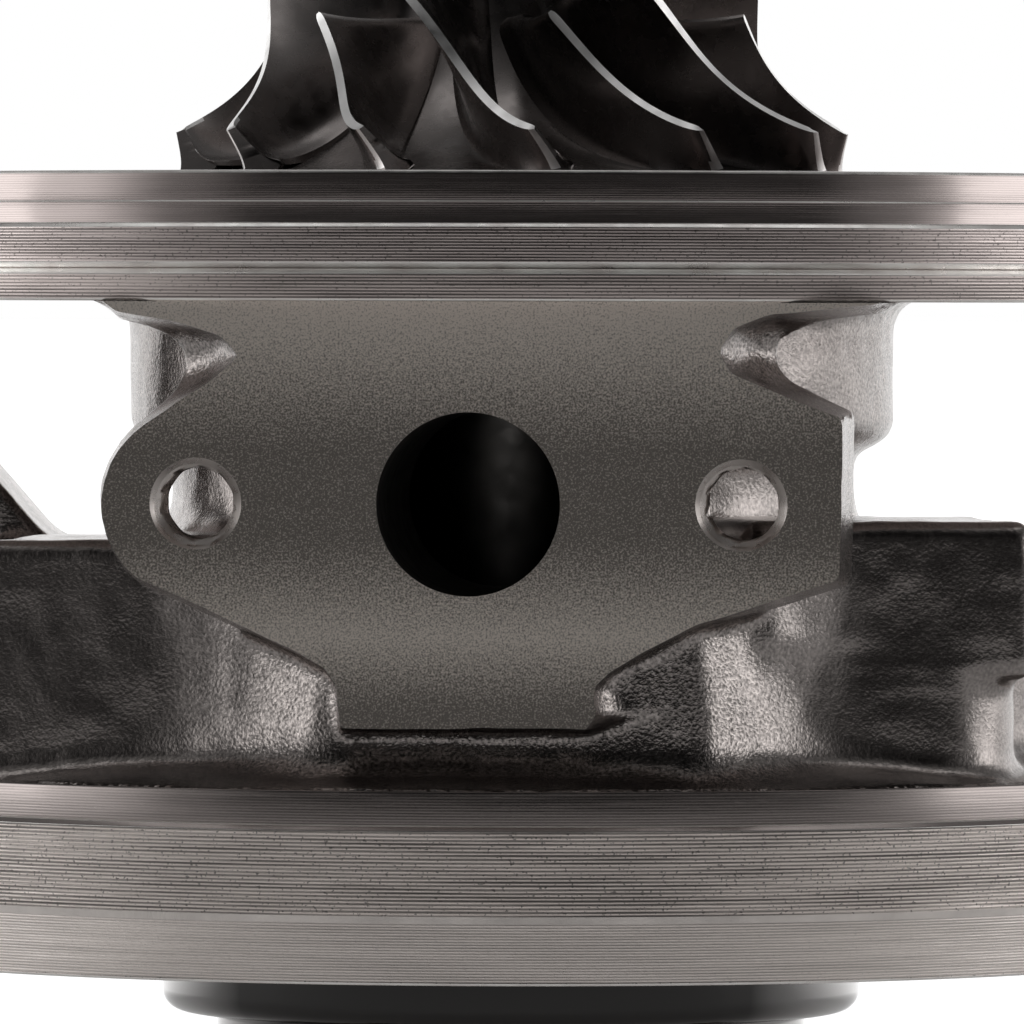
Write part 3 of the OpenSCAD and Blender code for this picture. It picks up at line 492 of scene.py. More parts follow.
class Field:
    """A grid over the casting, with distances to simple forms."""

    def __init__(self, lo, hi, step):
        self.lo = np.array(lo, float)
        self.step = step
        self.x, self.y, self.z = (
            np.arange(a, b, step, dtype=np.float32).reshape([-1 if i == k else 1 for i in range(3)])
            for k, (a, b) in enumerate(zip(lo, hi))
        )
        self.r = np.hypot(self.x, self.y)

    @staticmethod
    def prism(flat, height, corner=0.0):
        """Where a flat distance and a height distance meet, with a rounded edge."""
        flat, height = flat + corner, height + corner
        outside = np.hypot(np.maximum(flat, 0), np.maximum(height, 0))
        return np.minimum(np.maximum(flat, height), 0) + outside - corner

    @staticmethod
    def within(value, a, b):
        """Distance to the stretch between two values."""
        return np.abs(value - (a + b) / 2) - (b - a) / 2

    def drum(self, r, z0, z1, corner=0.0):
        """A cylinder about the axis."""
        return self.prism(self.r - r, self.within(self.z, z0, z1), corner)

    def flat_block(self, turn, reach, aside0, aside1, z0, z1, upright, corner):
        """An upright block on the drum, with a flat face at a distance from the axis, and its upright
        and level edges rounded."""
        turn = math.radians(turn)
        lean = BLOCK_DRAFT * (self.z - BLOCK_MIDDLE)
        out = self.x * math.sin(turn) - self.y * math.cos(turn) + lean
        aside = self.x * math.cos(turn) + self.y * math.sin(turn)
        deep = self.within(out, reach - BLOCK_DEPTH, reach)
        flat = self.prism(deep, self.within(aside, aside0, aside1), upright)
        return self.prism(flat, self.within(self.z, z0, z1), corner)

    def from_drain_axis(self):
        """Distance from the line along Y at the drain's height."""
        return np.hypot(self.x, self.z - DRAIN_Z)

    def along_y(self, flat, y0, y1, corner=0.0):
        """A flat form of the XZ plane, drawn out along Y."""
        return self.prism(flat, self.within(self.y, y0, y1), corner)

    def outline(self, points, z=0.0):
        """Distance in the XZ plane to a closed outline, whose points count from a height."""
        points = [(a, b + z) for a, b in points]
        best = np.full((self.x.size, 1, self.z.size), 1e9, np.float32)
        sign = np.ones_like(best)
        for (ax, az), (bx, bz) in zip(points, points[1:] + points[:1]):
            ex, ez = bx - ax, bz - az
            wx, wz = self.x - ax, self.z - az
            t = np.clip((wx * ex + wz * ez) / (ex * ex + ez * ez), 0, 1)
            best = np.minimum(best, (wx - ex * t) ** 2 + (wz - ez * t) ** 2)
            up, down, left = self.z >= az, self.z < bz, ex * wz > ez * wx
            sign = np.where((up & down & left) | (~up & ~down & ~left), -sign, sign)
        return sign * np.sqrt(best)

    def lumps(self, size, rng):
        """Smooth random lumps of a size, from -1 to 1."""
        shape = (self.x.size, self.y.size, self.z.size)
        cell = size / self.step
        value = rng.uniform(-1, 1, [int(n / cell) + 2 for n in shape]).astype(np.float32)
        for axis, n in enumerate(shape):
            where = np.arange(n) / cell
            first = where.astype(int)
            part = (where - first).astype(np.float32)
            part = (part * part * (3 - 2 * part)).reshape([-1 if i == axis else 1 for i in range(3)])
            value = np.take(value, first, axis) * (1 - part) + np.take(value, first + 1, axis) * part
        return value

    def mesh(self, name, distance):
        """The surface where the distance is nought."""
        band = 3.0
        grid = openvdb.FloatGrid(band)
        grid.copyFromArray(np.clip(distance, -band, band).astype(np.float32))
        points, quads = grid.convertToQuads(0.0)
        return face_outward(add_mesh(name, points * self.step + self.lo, quads.tolist()))


def soft_union(a, b, size):
    """Union with a fillet of about that size."""
    share = np.clip(0.5 + 0.5 * (b - a) / size, 0, 1)
    return b + (a - b) * share - size * share * (1 - share)


def ramp(value, start, end):
    """From 0 at the start to 1 at the end."""
    return np.clip((value - start) / (end - start), 0, 1)


def arc(x, z, r, first, last, steps=10):
    """Points of a round stretch, angles from +X toward +Z."""
    turns = np.radians(np.linspace(first, last, steps + 1))
    return [(x + r * math.cos(t), z + r * math.sin(t)) for t in turns]


def drain_web_outline():
    """The milled face about the drain's centre, from the notches up to the flange."""
    top = FLANGE_Z - DRAIN_Z + 0.4
    right = [(29, top), (28.6, 14.0), (21, 13.3), (18.5, 12.3), (17.4, 10.6)]
    left = [(-15.9, 10.3), (-17.3, 11.7), (-20.6, 12.7), (-24.6, 13.3), (-26, top)]
    return right + [(12, 0), (-12, 0)] + left


def drain_lug_outline():
    """The milled face about the drain's centre, below the notches: two lugs and a foot."""
    right = [(17.4, 10.6), (18.3, 9.2), (22.4, 7.4), (25.9, 6.0), (25.8, -5.2), (16.1, -8.3), (11.9, -10.4),
             (9.9, -11.6), (8.8, -12.7), (8.3, -15.5)]
    left = [(-8.8, -15.5), (-9.1, -12.6), (-9.9, -11.4), (-11.7, -10.4), (-15.8, -8.5)]
    lobe = arc(-BOLT_X, 0, LUG_R, 232, 123)
    return right + left + lobe + [(-17.9, 8.6), (-15.9, 10.3)]


GRID_LOW, GRID_HIGH = (-54.5, -51, 7.5), (54.5, 48, 51)
GRID_STEP, QUICK_STEP = 0.38, 0.6
# Fillets between the casting's forms, and the rounding of their own edges
FILLET = {
    "cone": 2.2, "waist": 4, "neck": 2, "flange": 2.5, "duct": 3, "block": 1.5, "foot": 2.5, "rib": 1.6,
    "boss": 3,
}
CORNER = {"drum": 2.5, "neck": 2.2, "block": 1.3, "foot": 1.0, "face": 0.4, "rib": 0.6}
# How far a form or a cutter runs past the face that it starts or ends at
CUT_LAP, FUSE_LAP = 1.0, 0.5
# Where forms start or end inside others
CAST_FLOOR, WAIST_Z, WAIST_TOP, NECK_TOP = 9.0, 20.0, 48.0, 49.0
DUCT_END_Y, BOSS_START_Y = -12.0, 12.0
# How far the casting stays inside the turned flanges, and what the mill takes off
CAST_FLANGE_R, SKIN = 52.3, 0.1
FACE_STOCK, BOSS_STOCK = 1.6, 1.0
# Flat blocks on the drum: turn from -Y, distance from the axis, reach to each side, height from and to,
# and the rounding of the upright edges
DRUM_BLOCKS = (
    (-13.5, 42.4, -27, -6, 12, 30.5, 1.3), (17, 42.4, 6, 28, 12, 21.3, 7.0),
    (17, 42.4, 7, 28.2, 20.8, 32.0, 1.3), (38, 44.3, -9, 3, 23, 29, 1.3),
)
# Their depth and draft, and the height at which the draft is nought
BLOCK_DEPTH, BLOCK_DRAFT, BLOCK_MIDDLE = 16.0, 0.065, 21.0
# The cast foot: front, back and heights, its reach to each side at the top, how its flanks spread downward
# and turn back, and where they end
FOOT_Y, FOOT_BACK, FOOT_Z, FOOT_TOP = -45.2, -24.0, 12.0, 22.0
FOOT_LEFT, FOOT_RIGHT, LEFT_SPREAD, RIGHT_SPREAD = 9.2, 15.6, 0.25, 0.1
LEFT_FLANK, RIGHT_FLANK = math.radians(36), math.radians(45)
LEFT_END, RIGHT_END = -22.0, 26.0
# Draft of the drain flange's sides, and how the notches' fillets grow with depth
FACE_DRAFT, NOTCH_START, NOTCH_GROWTH = 0.1, 0.5, 1.0
# The fillet behind the drain flange, and what it gains to the right of the foot between two levels
ROOT_FILLET, ROOT_GAIN = 1.0, 4.0
ROOT_UPPER, ROOT_LOWER, ROOT_SIDE = (22.0, 19.0), (17.4, 18.6), (5.0, 8.0)
# The slanted rib: its right edge on the drum, its run to the left, its width, half depth and overlap
RIB_X, RIB_RUN, RIB_W, RIB_HALF, RIB_SINK = -33.0, 16.0, 3.25, 6.0, 0.5
# The sand's lumps, as size and height
LUMPS = ((1.5, 0.04), (3.5, 0.07), (9, 0.1))


def round_body(g):
    """Cone, drum, waist, neck and flange, all about the axis."""
    slope = (DRUM_FOOT - LAND_TOP) / (LAND_R - DRUM_R)
    cone = ((g.z - LAND_TOP) + (g.r - LAND_R) * slope) / math.hypot(1, slope)
    cone = np.maximum(np.maximum(cone, g.r - LAND_R + SKIN), CAST_FLOOR - g.z)
    body = soft_union(g.drum(DRUM_R, CAST_FLOOR, DRUM_TOP, CORNER["drum"]), cone, FILLET["cone"])
    body = soft_union(body, g.drum(WAIST_R, WAIST_Z, WAIST_TOP), FILLET["waist"])
    body = soft_union(body, g.drum(NECK_R, NECK_Z, NECK_TOP, CORNER["neck"]), FILLET["neck"])
    flange = g.drum(CAST_FLANGE_R, FLANGE_Z + SKIN, HOUSING_TOP - 2 * SKIN)
    return soft_union(body, flange, FILLET["flange"])


def drain_duct(g):
    """The duct from the drain flange to the waist, with a web up to the compressor flange."""
    ends = DRAIN_Y + CUT_LAP, DUCT_END_Y
    web = np.maximum(np.abs(g.x) - DUCT_R, g.within(g.z, DRAIN_Z, FLANGE_Z + CUT_LAP))
    return np.minimum(g.along_y(g.from_drain_axis() - DUCT_R, *ends), g.along_y(web, *ends))


def foot(g):
    """The foot that carries the drain flange on the drum."""
    front = FOOT_Y - g.y
    below = FOOT_TOP - g.z
    left = -g.x - FOOT_LEFT - LEFT_SPREAD * below
    right = g.x - FOOT_RIGHT - RIGHT_SPREAD * below
    left_flank = left * math.sin(LEFT_FLANK) + front * math.cos(LEFT_FLANK)
    right_flank = right * math.sin(RIGHT_FLANK) + front * math.cos(RIGHT_FLANK)
    flanks = np.maximum(left_flank, right_flank)
    form = g.prism(flanks, np.maximum(front, g.y - FOOT_BACK), CORNER["foot"])
    form = np.maximum(form, g.within(g.x, LEFT_END, RIGHT_END))
    return np.maximum(form, g.within(g.z, FOOT_Z, DRUM_TOP))


def drain_flange(g):
    """The drain flange, with draft on its sides."""
    depth = np.maximum(g.y - DRAIN_Y, 0)
    web, lugs = g.outline(drain_web_outline(), DRAIN_Z), g.outline(drain_lug_outline(), DRAIN_Z)
    face = soft_union(web, lugs, NOTCH_START + NOTCH_GROWTH * depth) - FACE_DRAFT * depth
    return g.along_y(face, DRAIN_Y - FACE_STOCK, DRAIN_Y + LUG_T, CORNER["face"])


def drain_fillet(g):
    """The size of the fillet behind the drain flange, which is wide beside the foot's right flank."""
    beside = ramp(g.z, *ROOT_UPPER) * ramp(g.z, *ROOT_LOWER) * ramp(g.x, *ROOT_SIDE)
    return ROOT_FILLET + ROOT_GAIN * beside


def slanted_rib(g):
    """The rib at the far left, from the drum up to the compressor flange."""
    low_z, top_x = DRUM_TOP - RIB_SINK, RIB_X - RIB_RUN
    outline = [(RIB_X, low_z), (top_x, FLANGE_Z), (top_x - RIB_W, FLANGE_Z), (RIB_X - RIB_W, low_z)]
    return g.along_y(g.outline(outline), -RIB_HALF, RIB_HALF, CORNER["rib"])


def inlet_boss(g):
    """The oil inlet's boss, at the back."""
    return g.along_y(g.from_drain_axis() - INLET_BOSS_R, BOSS_START_Y, INLET_Y + BOSS_STOCK)


def housing_casting():
    """The rough casting, before anything is machined."""
    g = Field(GRID_LOW, GRID_HIGH, GRID_STEP)
    rng = np.random.default_rng(SEED)
    body = soft_union(round_body(g), drain_duct(g), FILLET["duct"])
    for measures in DRUM_BLOCKS:
        body = soft_union(body, g.flat_block(*measures, CORNER["block"]), FILLET["block"])
    body = soft_union(body, foot(g), FILLET["foot"])
    body = soft_union(body, drain_flange(g), drain_fillet(g))
    body = soft_union(body, slanted_rib(g), FILLET["rib"])
    body = soft_union(body, inlet_boss(g), FILLET["boss"])
    for size, height in LUMPS:
        body = body + height * g.lumps(size, rng)
    return g.mesh("housing_casting", body)


CIRCLIPS = [f"{side}_{place}_circlip" for side in ("turbine", "compressor") for place in ("outer", "inner")]
TO_BACK, TO_FRONT, UP = (0, 1, 0), (0, -1, 0), (0, 0, 1)


def screw_places():
    """X and Y of the four backplate screws."""
    turns = [math.radians(45 + 90 * i) for i in range(4)]
    return [(SCREW_RING * math.cos(t), SCREW_RING * math.sin(t)) for t in turns]


def axis_bores():
    """The bores along the axis, the circlips' grooves and the oil chamber, as a list of tools."""
    start, end = NOSE_Z - CUT_LAP, HOUSING_TOP + CUT_LAP
    axis = [
        (0, start), (TURBINE_SEAL_R, start), (TURBINE_SEAL_R, SEAL_WALL_Z), (TUBE_R, SEAL_WALL_Z),
        (TUBE_R, TUBE_Z), (BEARING_R, TUBE_Z), (BEARING_R, WASHER_ROOM_Z), (WASHER_ROOM_R, WASHER_ROOM_Z),
        (WASHER_ROOM_R, THRUST_Z), (THRUST_R, THRUST_Z), (THRUST_R, end), (0, end),
    ]
    tools = [revolve("axis_tool", axis, 128)]
    for clip in CIRCLIPS:
        z0, z1 = low(clip).z - FIT_GAP, high(clip).z + FIT_GAP
        tools.append(ring("groove_tool", 0, CIRCLIP_GROOVE_R, z0, z1))
    chamber_top = WASHER_ROOM_Z - FUSE_LAP
    tools.append(ring("chamber_tool", TUBE_R, CHAMBER_R, SEAL_WALL_Z, chamber_top, 96, -90, 180))
    slot = TUBE_R + 1, CHAMBER_R - 1, WASHER_ROOM_Z - CUT_LAP, THRUST_Z + FUSE_LAP
    tools.append(ring("slot_tool", *slot, 32, -30, 60))
    return tools


def housing_bores():
    """Everything that is bored, drilled and tapped, as one tool."""
    drain_l, feed_l, screw_l = 35.0, 36.0, 8.0
    tools = axis_bores()
    tools.append(aim(rod("drain_tool", DRAIN_R, drain_l), (0, DRAIN_Y - CUT_LAP, DRAIN_Z), TO_BACK))
    for x in (-BOLT_X, BOLT_X):
        tap = thread_tool("tap_tool", BOLT_R, THREAD_DEPTH, THREAD_PITCH, LUG_T + 3)
        tools.append(aim(tap, (x, DRAIN_Y - CUT_LAP, DRAIN_Z), TO_BACK))
        mouth = rod("mouth_tool", MOUTH_R, MOUTH_DEPTH, r_end=MOUTH_R - MOUTH_DEPTH)
        tools.append(aim(mouth, (x, DRAIN_Y - FUSE_LAP, DRAIN_Z), TO_BACK))
    inlet = thread_tool("inlet_tool", INLET_R, THREAD_DEPTH, THREAD_PITCH, INLET_DEPTH + CUT_LAP)
    tools.append(aim(inlet, (0, INLET_Y + CUT_LAP, DRAIN_Z), TO_FRONT))
    tools.append(aim(rod("feed_tool", GALLERY_R, feed_l), (0, INLET_Y - CUT_LAP, DRAIN_Z), TO_FRONT))
    for x, y in screw_places():
        tools.append(aim(rod("screw_tool", SCREW_HOLE_R, screw_l, 48), (x, y, SCREW_END_Z), UP))
    for x in (-PIN_RING, PIN_RING):
        pin = rod("pin_tool", PIN_HOLE_R, PIN_DEPTH + FUSE_LAP, 48)
        tools.append(aim(pin, (x, 0, THRUST_Z - PIN_DEPTH), UP))
    return unite(tools)


def upper_flange():
    """The turned compressor flange. Its core is bored out later."""
    core = 17.0
    return revolve("upper_flange", rounded([
        (core, FLANGE_Z), (FLANGE_R, FLANGE_Z, 0.25), (FLANGE_R, HOUSING_TOP - FLANGE_CHAMFER, 0.08),
        (FLANGE_R - FLANGE_CHAMFER, HOUSING_TOP, 0.08), (core, HOUSING_TOP),
    ]))


def lower_flange():
    """The turned turbine flange with its nose and the shield's seat. Its core is bored out later."""
    core, nose_r, register_r, register_z, seat_r = 5.0, 10.6, 24.75, -1.4, 25.7
    return revolve("lower_flange", rounded([
        (core, NOSE_Z), (nose_r, NOSE_Z, 0.3), (nose_r, register_z), (register_r, register_z, 0.2),
        (register_r, SHIELD_TOP), (seat_r, SHIELD_TOP), (seat_r, 0), (PILOT_R, 0, 0.25),
        (PILOT_R, PILOT_TOP - STEP_H), (RIM_R, PILOT_TOP), (RIM_R, RIM_TOP - RIM_CHAMFER, 0.1),
        (RIM_R - RIM_CHAMFER, RIM_TOP, 0.3), (LAND_R, RIM_TOP), (LAND_R, LAND_TOP, 0.15), (core, LAND_TOP),
    ]))


# How near a face's centre has to be to a surface, and to a rim
NEAR, RIM_NEAR = 0.02, 0.3


def edge_highlight(r, normal):
    """True on the chamfers and rounded edges of the flanges' rims, which get a painted highlight."""
    lean = np.abs(normal[:, 2])
    return (r > LAND_R - RIM_NEAR) & (lean > 0.25) & (lean < 0.97)


def housing_finishes(centre, normal):
    """The machined faces of the housing."""
    x, y, z = centre.T
    r = np.hypot(x, y)
    outer = r > LAND_R - RIM_NEAR
    upper = z > FLANGE_Z - NEAR / 2
    lower = ((z < LAND_TOP + NEAR) & (r > LAND_R - 0.2)) | (z < NEAR)
    land = outer & (z > RIM_TOP - RIM_CHAMFER) & (z < LAND_TOP + NEAR)
    pilot = outer & (z > 0.3) & (z < PILOT_TOP - STEP_H)
    # The step and the rim's top edge get a painted highlight.
    step = outer & (np.abs(z - PILOT_TOP + STEP_H / 2) < STEP_H / 2)
    rim_edge_highlight = (r > LAND_R + 0.1) & (np.abs(z - RIM_TOP) < 0.1)
    drain = np.hypot(x, z - DRAIN_Z)
    drain_bore = (drain < DRAIN_R + NEAR) & (y < 0)
    inlet_bore = (drain < INLET_R + 0.7) & (y > 0)
    bores = (r < THRUST_R + NEAR) | drain_bore | inlet_bore
    bolts = np.hypot(np.abs(x) - BOLT_X, z - DRAIN_Z)
    threads = (bolts < MOUTH_R - 0.1) & (y > DRAIN_Y + NEAR / 2) & (y < DRAIN_Y + LUG_T - 0.3)
    face = (np.abs(y - DRAIN_Y) < NEAR) & (normal[:, 1] < -0.9) & (z < FLANGE_Z)
    inlet_face = (np.abs(y - INLET_Y) < NEAR) & (normal[:, 1] > 0.9)
    return [
        (upper, TURNED_FLANGE), (lower, TURNED_LOWER), ((upper | lower) & edge_highlight(r, normal), EDGE_HIGHLIGHT),
        (land, TURNED_LAND), (pilot, TURNED_PILOT), (step | rim_edge_highlight, RIM_HIGHLIGHT),
        (bores & (z > 0), BORE), (threads, TAPPED), (face | inlet_face, MILLED),
    ]


def housing():
    """The casting, milled, with its flanges turned and its bores cut."""
    piece = housing_casting()
    reach, mill_x, mill_z, lap = 12.0, 40.0, 16.5, 0.05
    mill = block("mill_tool", (-mill_x, DRAIN_Y - reach, mill_z), (mill_x, DRAIN_Y, FLANGE_Z + lap))
    inlet_low, inlet_high = (-reach, INLET_Y, DRAIN_Z - reach), (reach, INLET_Y + reach, DRAIN_Z + reach)
    rim_r, rim_z = FLANGE_R - 0.4, FLANGE_Z - lap
    rim = ring("flange_clear_tool", rim_r, rim_r + reach, rim_z, rim_z + reach, ROUND_STEPS)
    for tool in (mill, rim, block("inlet_mill_tool", inlet_low, inlet_high)):
        combine(piece, tool, "DIFFERENCE")
    combine(piece, upper_flange(), "UNION")
    combine(piece, lower_flange(), "UNION")
    combine(piece, housing_bores(), "DIFFERENCE")
    paint(piece, CAST, housing_finishes)
    shade(piece, 40)
    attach(piece, "housing")
    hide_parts("bearing_housing")


def backplate_finishes(centre, normal):
    """The seat for the compressor's cover, and the broken edges with their painted highlight."""
    x, y, z = centre.T
    return [(z > PLATE_PILOT_Z + NEAR / 2, TURNED_SMOOTH), (edge_highlight(np.hypot(x, y), normal), EDGE_HIGHLIGHT)]


def backplate():
    """The turned plate, with a fine line round its pilot, countersunk holes and the O-ring's groove."""
    line_z, line_h, line_depth = 54.3, 0.1, 0.07
    hole_z, hole_l, lap = 46.0, 12.0, 0.1
    piece = revolve("compressor_backplate_turned", rounded([
        (SEAL_BORE_R, FLINGER_ROOM_Z), (FLINGER_ROOM_R, FLINGER_ROOM_Z), (FLINGER_ROOM_R, SPIGOT_Z),
        (SPIGOT_R, SPIGOT_Z, 0.2), (SPIGOT_R, HOUSING_TOP),
        (FLANGE_R - PLATE_CHAMFER, HOUSING_TOP, 0.1), (FLANGE_R, HOUSING_TOP + PLATE_CHAMFER, 0.1),
        (FLANGE_R, PLATE_PILOT_Z - PILOT_CHAMFER, 0.08), (FLANGE_R - PILOT_CHAMFER, PLATE_PILOT_Z, 0.08),
        (PLATE_PILOT_R, PLATE_PILOT_Z, 0.1), (PLATE_PILOT_R, line_z),
        (PLATE_PILOT_R - line_depth, line_z + line_h), (PLATE_PILOT_R - line_depth, BACKPLATE_TOP, 0.3),
        (RECESS_R, BACKPLATE_TOP, 0.15), (RECESS_R, RECESS_Z), (SEAL_BORE_R, RECESS_Z, 0.2),
    ]))
    tools = []
    for x, y in screw_places():
        hole = aim(rod("screw_tool", SCREW_HOLE_R, hole_l, 48), (x, y, hole_z), UP)
        sink = rod("sink_tool", SCREW_HOLE_R - lap, SCREW_HEAD_H + lap, 48, SCREW_HEAD_R + lap)
        aim(sink, (x, y, RECESS_Z - SCREW_HEAD_H), UP)
        tools.append(unite([hole, sink]))
    groove_top = ORING_GROOVE_Z + ORING_GROOVE_T
    groove = ring("oring_tool", ORING_GROOVE_R, SPIGOT_R + CUT_LAP, ORING_GROOVE_Z, groove_top, 128)
    combine(piece, unite(tools + [groove]), "DIFFERENCE")
    paint(piece, TURNED_UPPER, backplate_finishes)
    shade(piece, 25)
    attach(piece, "housing")
    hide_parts("compressor_backplate")


# Bladed wheels, on the same curves as the solids

COMPRESSOR_BLADE = {
    "hub": ((23.5, 56.7), (5.6, 74.7), 1.4), "shroud": ((24.4, 59.8), (17.9, 74.7), 1.6, 4.5),
    "wrap": (-30, -18, 4, 6), "root": 1.4, "tip": 0.65,
}
TURBINE_BLADE = {
    "hub": ((20.1, -11.9), (6.2, -28.5), 1.3), "shroud": ((21.3, -17.3), (18.4, -28.5), 1.2, 2.6),
    "wrap": (0, 52, 2.6, 0), "root": 1.9, "tip": 0.8,
}
BLADE_PAIRS, WHEEL_TURN = 6, 7.3
SPLITTER_SHARE = (0.826, 0.7)
TURBINE_BLADES = 10
HUB_STEPS, WHEEL_STEPS = 48, 240


def hub_curve(blade, s):
    """Radius and height at the root, at a share of the blade's length."""
    (r0, z0), (r1, z1), power = blade["hub"]
    turn = math.pi / 2 * s ** power
    return r0 - (r0 - r1) * np.sin(turn), z1 - (z1 - z0) * np.cos(turn)


def shroud_curve(blade, s):
    """Radius and height at the tip."""
    (r0, z0), (r1, z1), power, bend = blade["shroud"]
    w = s ** power
    return r1 + (r0 - r1) * (1 - w) ** bend, z0 + (z1 - z0) * w


def blade_middle(blade, s, t):
    """The middle of a blade at a share s of its length and a share t of its height."""
    hub_r, hub_z = hub_curve(blade, s)
    tip_r, tip_z = shroud_curve(blade, s)
    r = hub_r + (tip_r - hub_r) * t
    z = hub_z + (tip_z - hub_z) * t
    a, b, power, lean = blade["wrap"]
    turn = np.radians(a * s + b * s ** power + lean * (1 - t) * (1 - s))
    return np.stack([r * np.sin(turn), -r * np.cos(turn), z], -1)


def blade_mesh(name, blade, shares, fillet, along=72, across=22, sink=-0.12):
    """One blade with a flared root and a thin leading edge, as a closed mesh. Its shares say how much it
    covers of the length at its root and at its tip."""
    t = sink + (1 - sink) * np.linspace(0, 1, across + 1)[None, :] ** 1.4
    share = shares[0] + (shares[1] - shares[0]) * np.maximum(t, 0)
    s = share * np.linspace(0, 1, along + 1)[:, None]
    s, t = np.broadcast_arrays(s, t)
    d = 0.004
    edge_share, edge_thin, flare = 0.035, 0.45, 0.7
    before, after = np.maximum(s - d, 0), np.minimum(s + d, 1)
    normal = np.cross(
        blade_middle(blade, after, t) - blade_middle(blade, before, t),
        blade_middle(blade, s, t + d) - blade_middle(blade, s, t - d),
    )
    normal /= np.linalg.norm(normal, axis=-1, keepdims=True)
    span = np.hypot(*(a - b for a, b in zip(shroud_curve(blade, s), hub_curve(blade, s))))
    up = np.maximum(t, 0)
    half = (blade["root"] + (blade["tip"] - blade["root"]) * up) / 2
    half = half + fillet * np.exp(-up * span / (flare * fillet))
    edge = np.clip((share - s) / edge_share, 0, 1)
    half = half * (edge_thin + (1 - edge_thin) * np.sqrt(1 - (1 - edge) ** 2))
    middle = blade_middle(blade, s, t)
    sides = [middle + half[..., None] * normal, middle - half[..., None] * normal]
    points = np.concatenate([side.reshape(-1, 3) for side in sides])
    row = across + 1
    back = row * (along + 1)
    faces = []
    for i in range(along):
        for j in range(across):
            k = i * row + j
            faces.append((k, k + 1, k + row + 1, k + row))
            faces.append((back + k, back + k + row, back + k + row + 1, back + k + 1))
        k, m = i * row, i * row + across
        faces.append((k, k + row, back + k + row, back + k))
        faces.append((m, back + m, back + m + row, m + row))
    last = row * along
    for j in range(across):
        faces.append((j, back + j, back + j + 1, j + 1))
        faces.append((last + j, last + j + 1, back + last + j + 1, back + last + j))
    return face_outward(add_mesh(name, points, faces))


def spin(piece, degrees):
    """Turns a piece about Z."""
    piece.data.transform(Matrix.Rotation(math.radians(degrees), 4, "Z"))
    return piece


def tip_finishes(blade):
    """The rule that makes the blades' tip edges and outer ends bright: machined edges, made brighter still
    by a painted highlight.
    """
    reach, end_lean = 0.05, 0.8
    tip_r, tip_z = shroud_curve(blade, np.linspace(0, 1, 400))
    end_r, end_z = blade["hub"][0]

    def rules(centre, normal):
        x, y, z = centre.T
        r = np.hypot(x, y)
        near = np.full(len(r), 1e9)
        for a, b in zip(tip_r, tip_z):
            near = np.minimum(near, (r - a) ** 2 + (z - b) ** 2)
        outward = (x * normal[:, 0] + y * normal[:, 1]) / r
        end = (r > end_r - 0.3) & (z > end_z + 0.1) & (outward > end_lean)
        return [((near < reach ** 2) | end, TIP)]

    return rules


def hub_points(blade):
    """The hub's profile, from its rim to the blades' other end."""
    return list(zip(*hub_curve(blade, np.linspace(0, 1, HUB_STEPS))))


def compressor_wheel():
    """Full blades and splitters on a curved hub."""
    rim_chamfer, fillet = 0.1, 0.9
    shoulder_r, shoulder_h, end_r = 5.2, 1.2, 4.7
    hub = hub_points(COMPRESSOR_BLADE)
    rim_r = hub[0][0]
    profile = [(SHAFT_HOLE_R, WHEEL_Z), (rim_r - rim_chamfer, WHEEL_Z), (rim_r, WHEEL_Z + rim_chamfer)]
    end = rounded([
        hub[-1], (shoulder_r, WHEEL_END_Z - shoulder_h, 1.5), (end_r, WHEEL_END_Z, 0.25),
        (SHAFT_HOLE_R, WHEEL_END_Z),
    ])
    profile += hub + [tuple(p) for p in end[1:]]
    piece = revolve("compressor_wheel_cast", profile, WHEEL_STEPS)
    for i in range(BLADE_PAIRS):
        for turn, shares in ((0, (1, 1)), (0.5, SPLITTER_SHARE)):
            blade = blade_mesh("blade_tool", COMPRESSOR_BLADE, shares, fillet)
            combine(piece, spin(blade, 360 * (i + turn) / BLADE_PAIRS), "UNION")
    paint(piece, WHEEL, tip_finishes(COMPRESSOR_BLADE))
    shade(piece, 35)
    spin(piece, WHEEL_TURN)
    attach(piece, "rotor")
    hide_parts("compressor_wheel")


def turbine_wheel():
    """Blades on a curved hub, which ends in a hexagon to hold it by."""
    back_step, fillet = 1.5, 0.8
    end_r, end_z = 5.2, -29.6
    hexagon_r, hexagon_z, hexagon_chamfer = 5.0, -28.6, (0.6, 0.5)
    hub = hub_points(TURBINE_BLADE)
    profile = [(0, TURBINE_Z), (hub[0][0] - back_step, TURBINE_Z)] + hub + [(end_r, end_z), (0, end_z)]
    piece = revolve("turbine_wheel_cast", profile, WHEEL_STEPS)
    hexagon = [
        (0, FLOOR_Z), (hexagon_r - hexagon_chamfer[0], FLOOR_Z), (hexagon_r, FLOOR_Z + hexagon_chamfer[1]),
        (hexagon_r, hexagon_z), (0, hexagon_z),
    ]
    combine(piece, revolve("nose_tool", hexagon, 6), "UNION")
    for i in range(TURBINE_BLADES):
        blade = blade_mesh("blade_tool", TURBINE_BLADE, (1, 1), fillet)
        combine(piece, spin(blade, 360 * i / TURBINE_BLADES), "UNION")
    paint(piece, TURBINE)
    shade(piece, 35)
    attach(piece, "rotor")
    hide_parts("turbine_wheel")


def heat_shield():
    """A can pressed from sheet, with a wider rim under the turbine flange."""
    rim_z, sheet, can_r, hole_r, bend = -4.6, 0.8, 21.6, 8.3, 1.6
    inner_bend, edge = 0.5, 0.15
    profile = rounded([
        (SHIELD_R, SHIELD_TOP, edge), (SHIELD_R, rim_z, bend), (can_r, rim_z, inner_bend),
        (can_r, SHIELD_Z, bend), (hole_r, SHIELD_Z, 0.2), (hole_r, SHIELD_Z + sheet, 0.2),
        (can_r - sheet, SHIELD_Z + sheet, bend - sheet), (can_r - sheet, rim_z + sheet, inner_bend),
        (SHIELD_R - sheet, rim_z + sheet, bend - sheet), (SHIELD_R - sheet, SHIELD_TOP, edge),
    ], 8)
    piece = revolve("heat_shield_pressed", profile)
    paint(piece, SHIELD)
    shade(piece, 30)
    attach(piece, "housing")
    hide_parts("heat_shield")


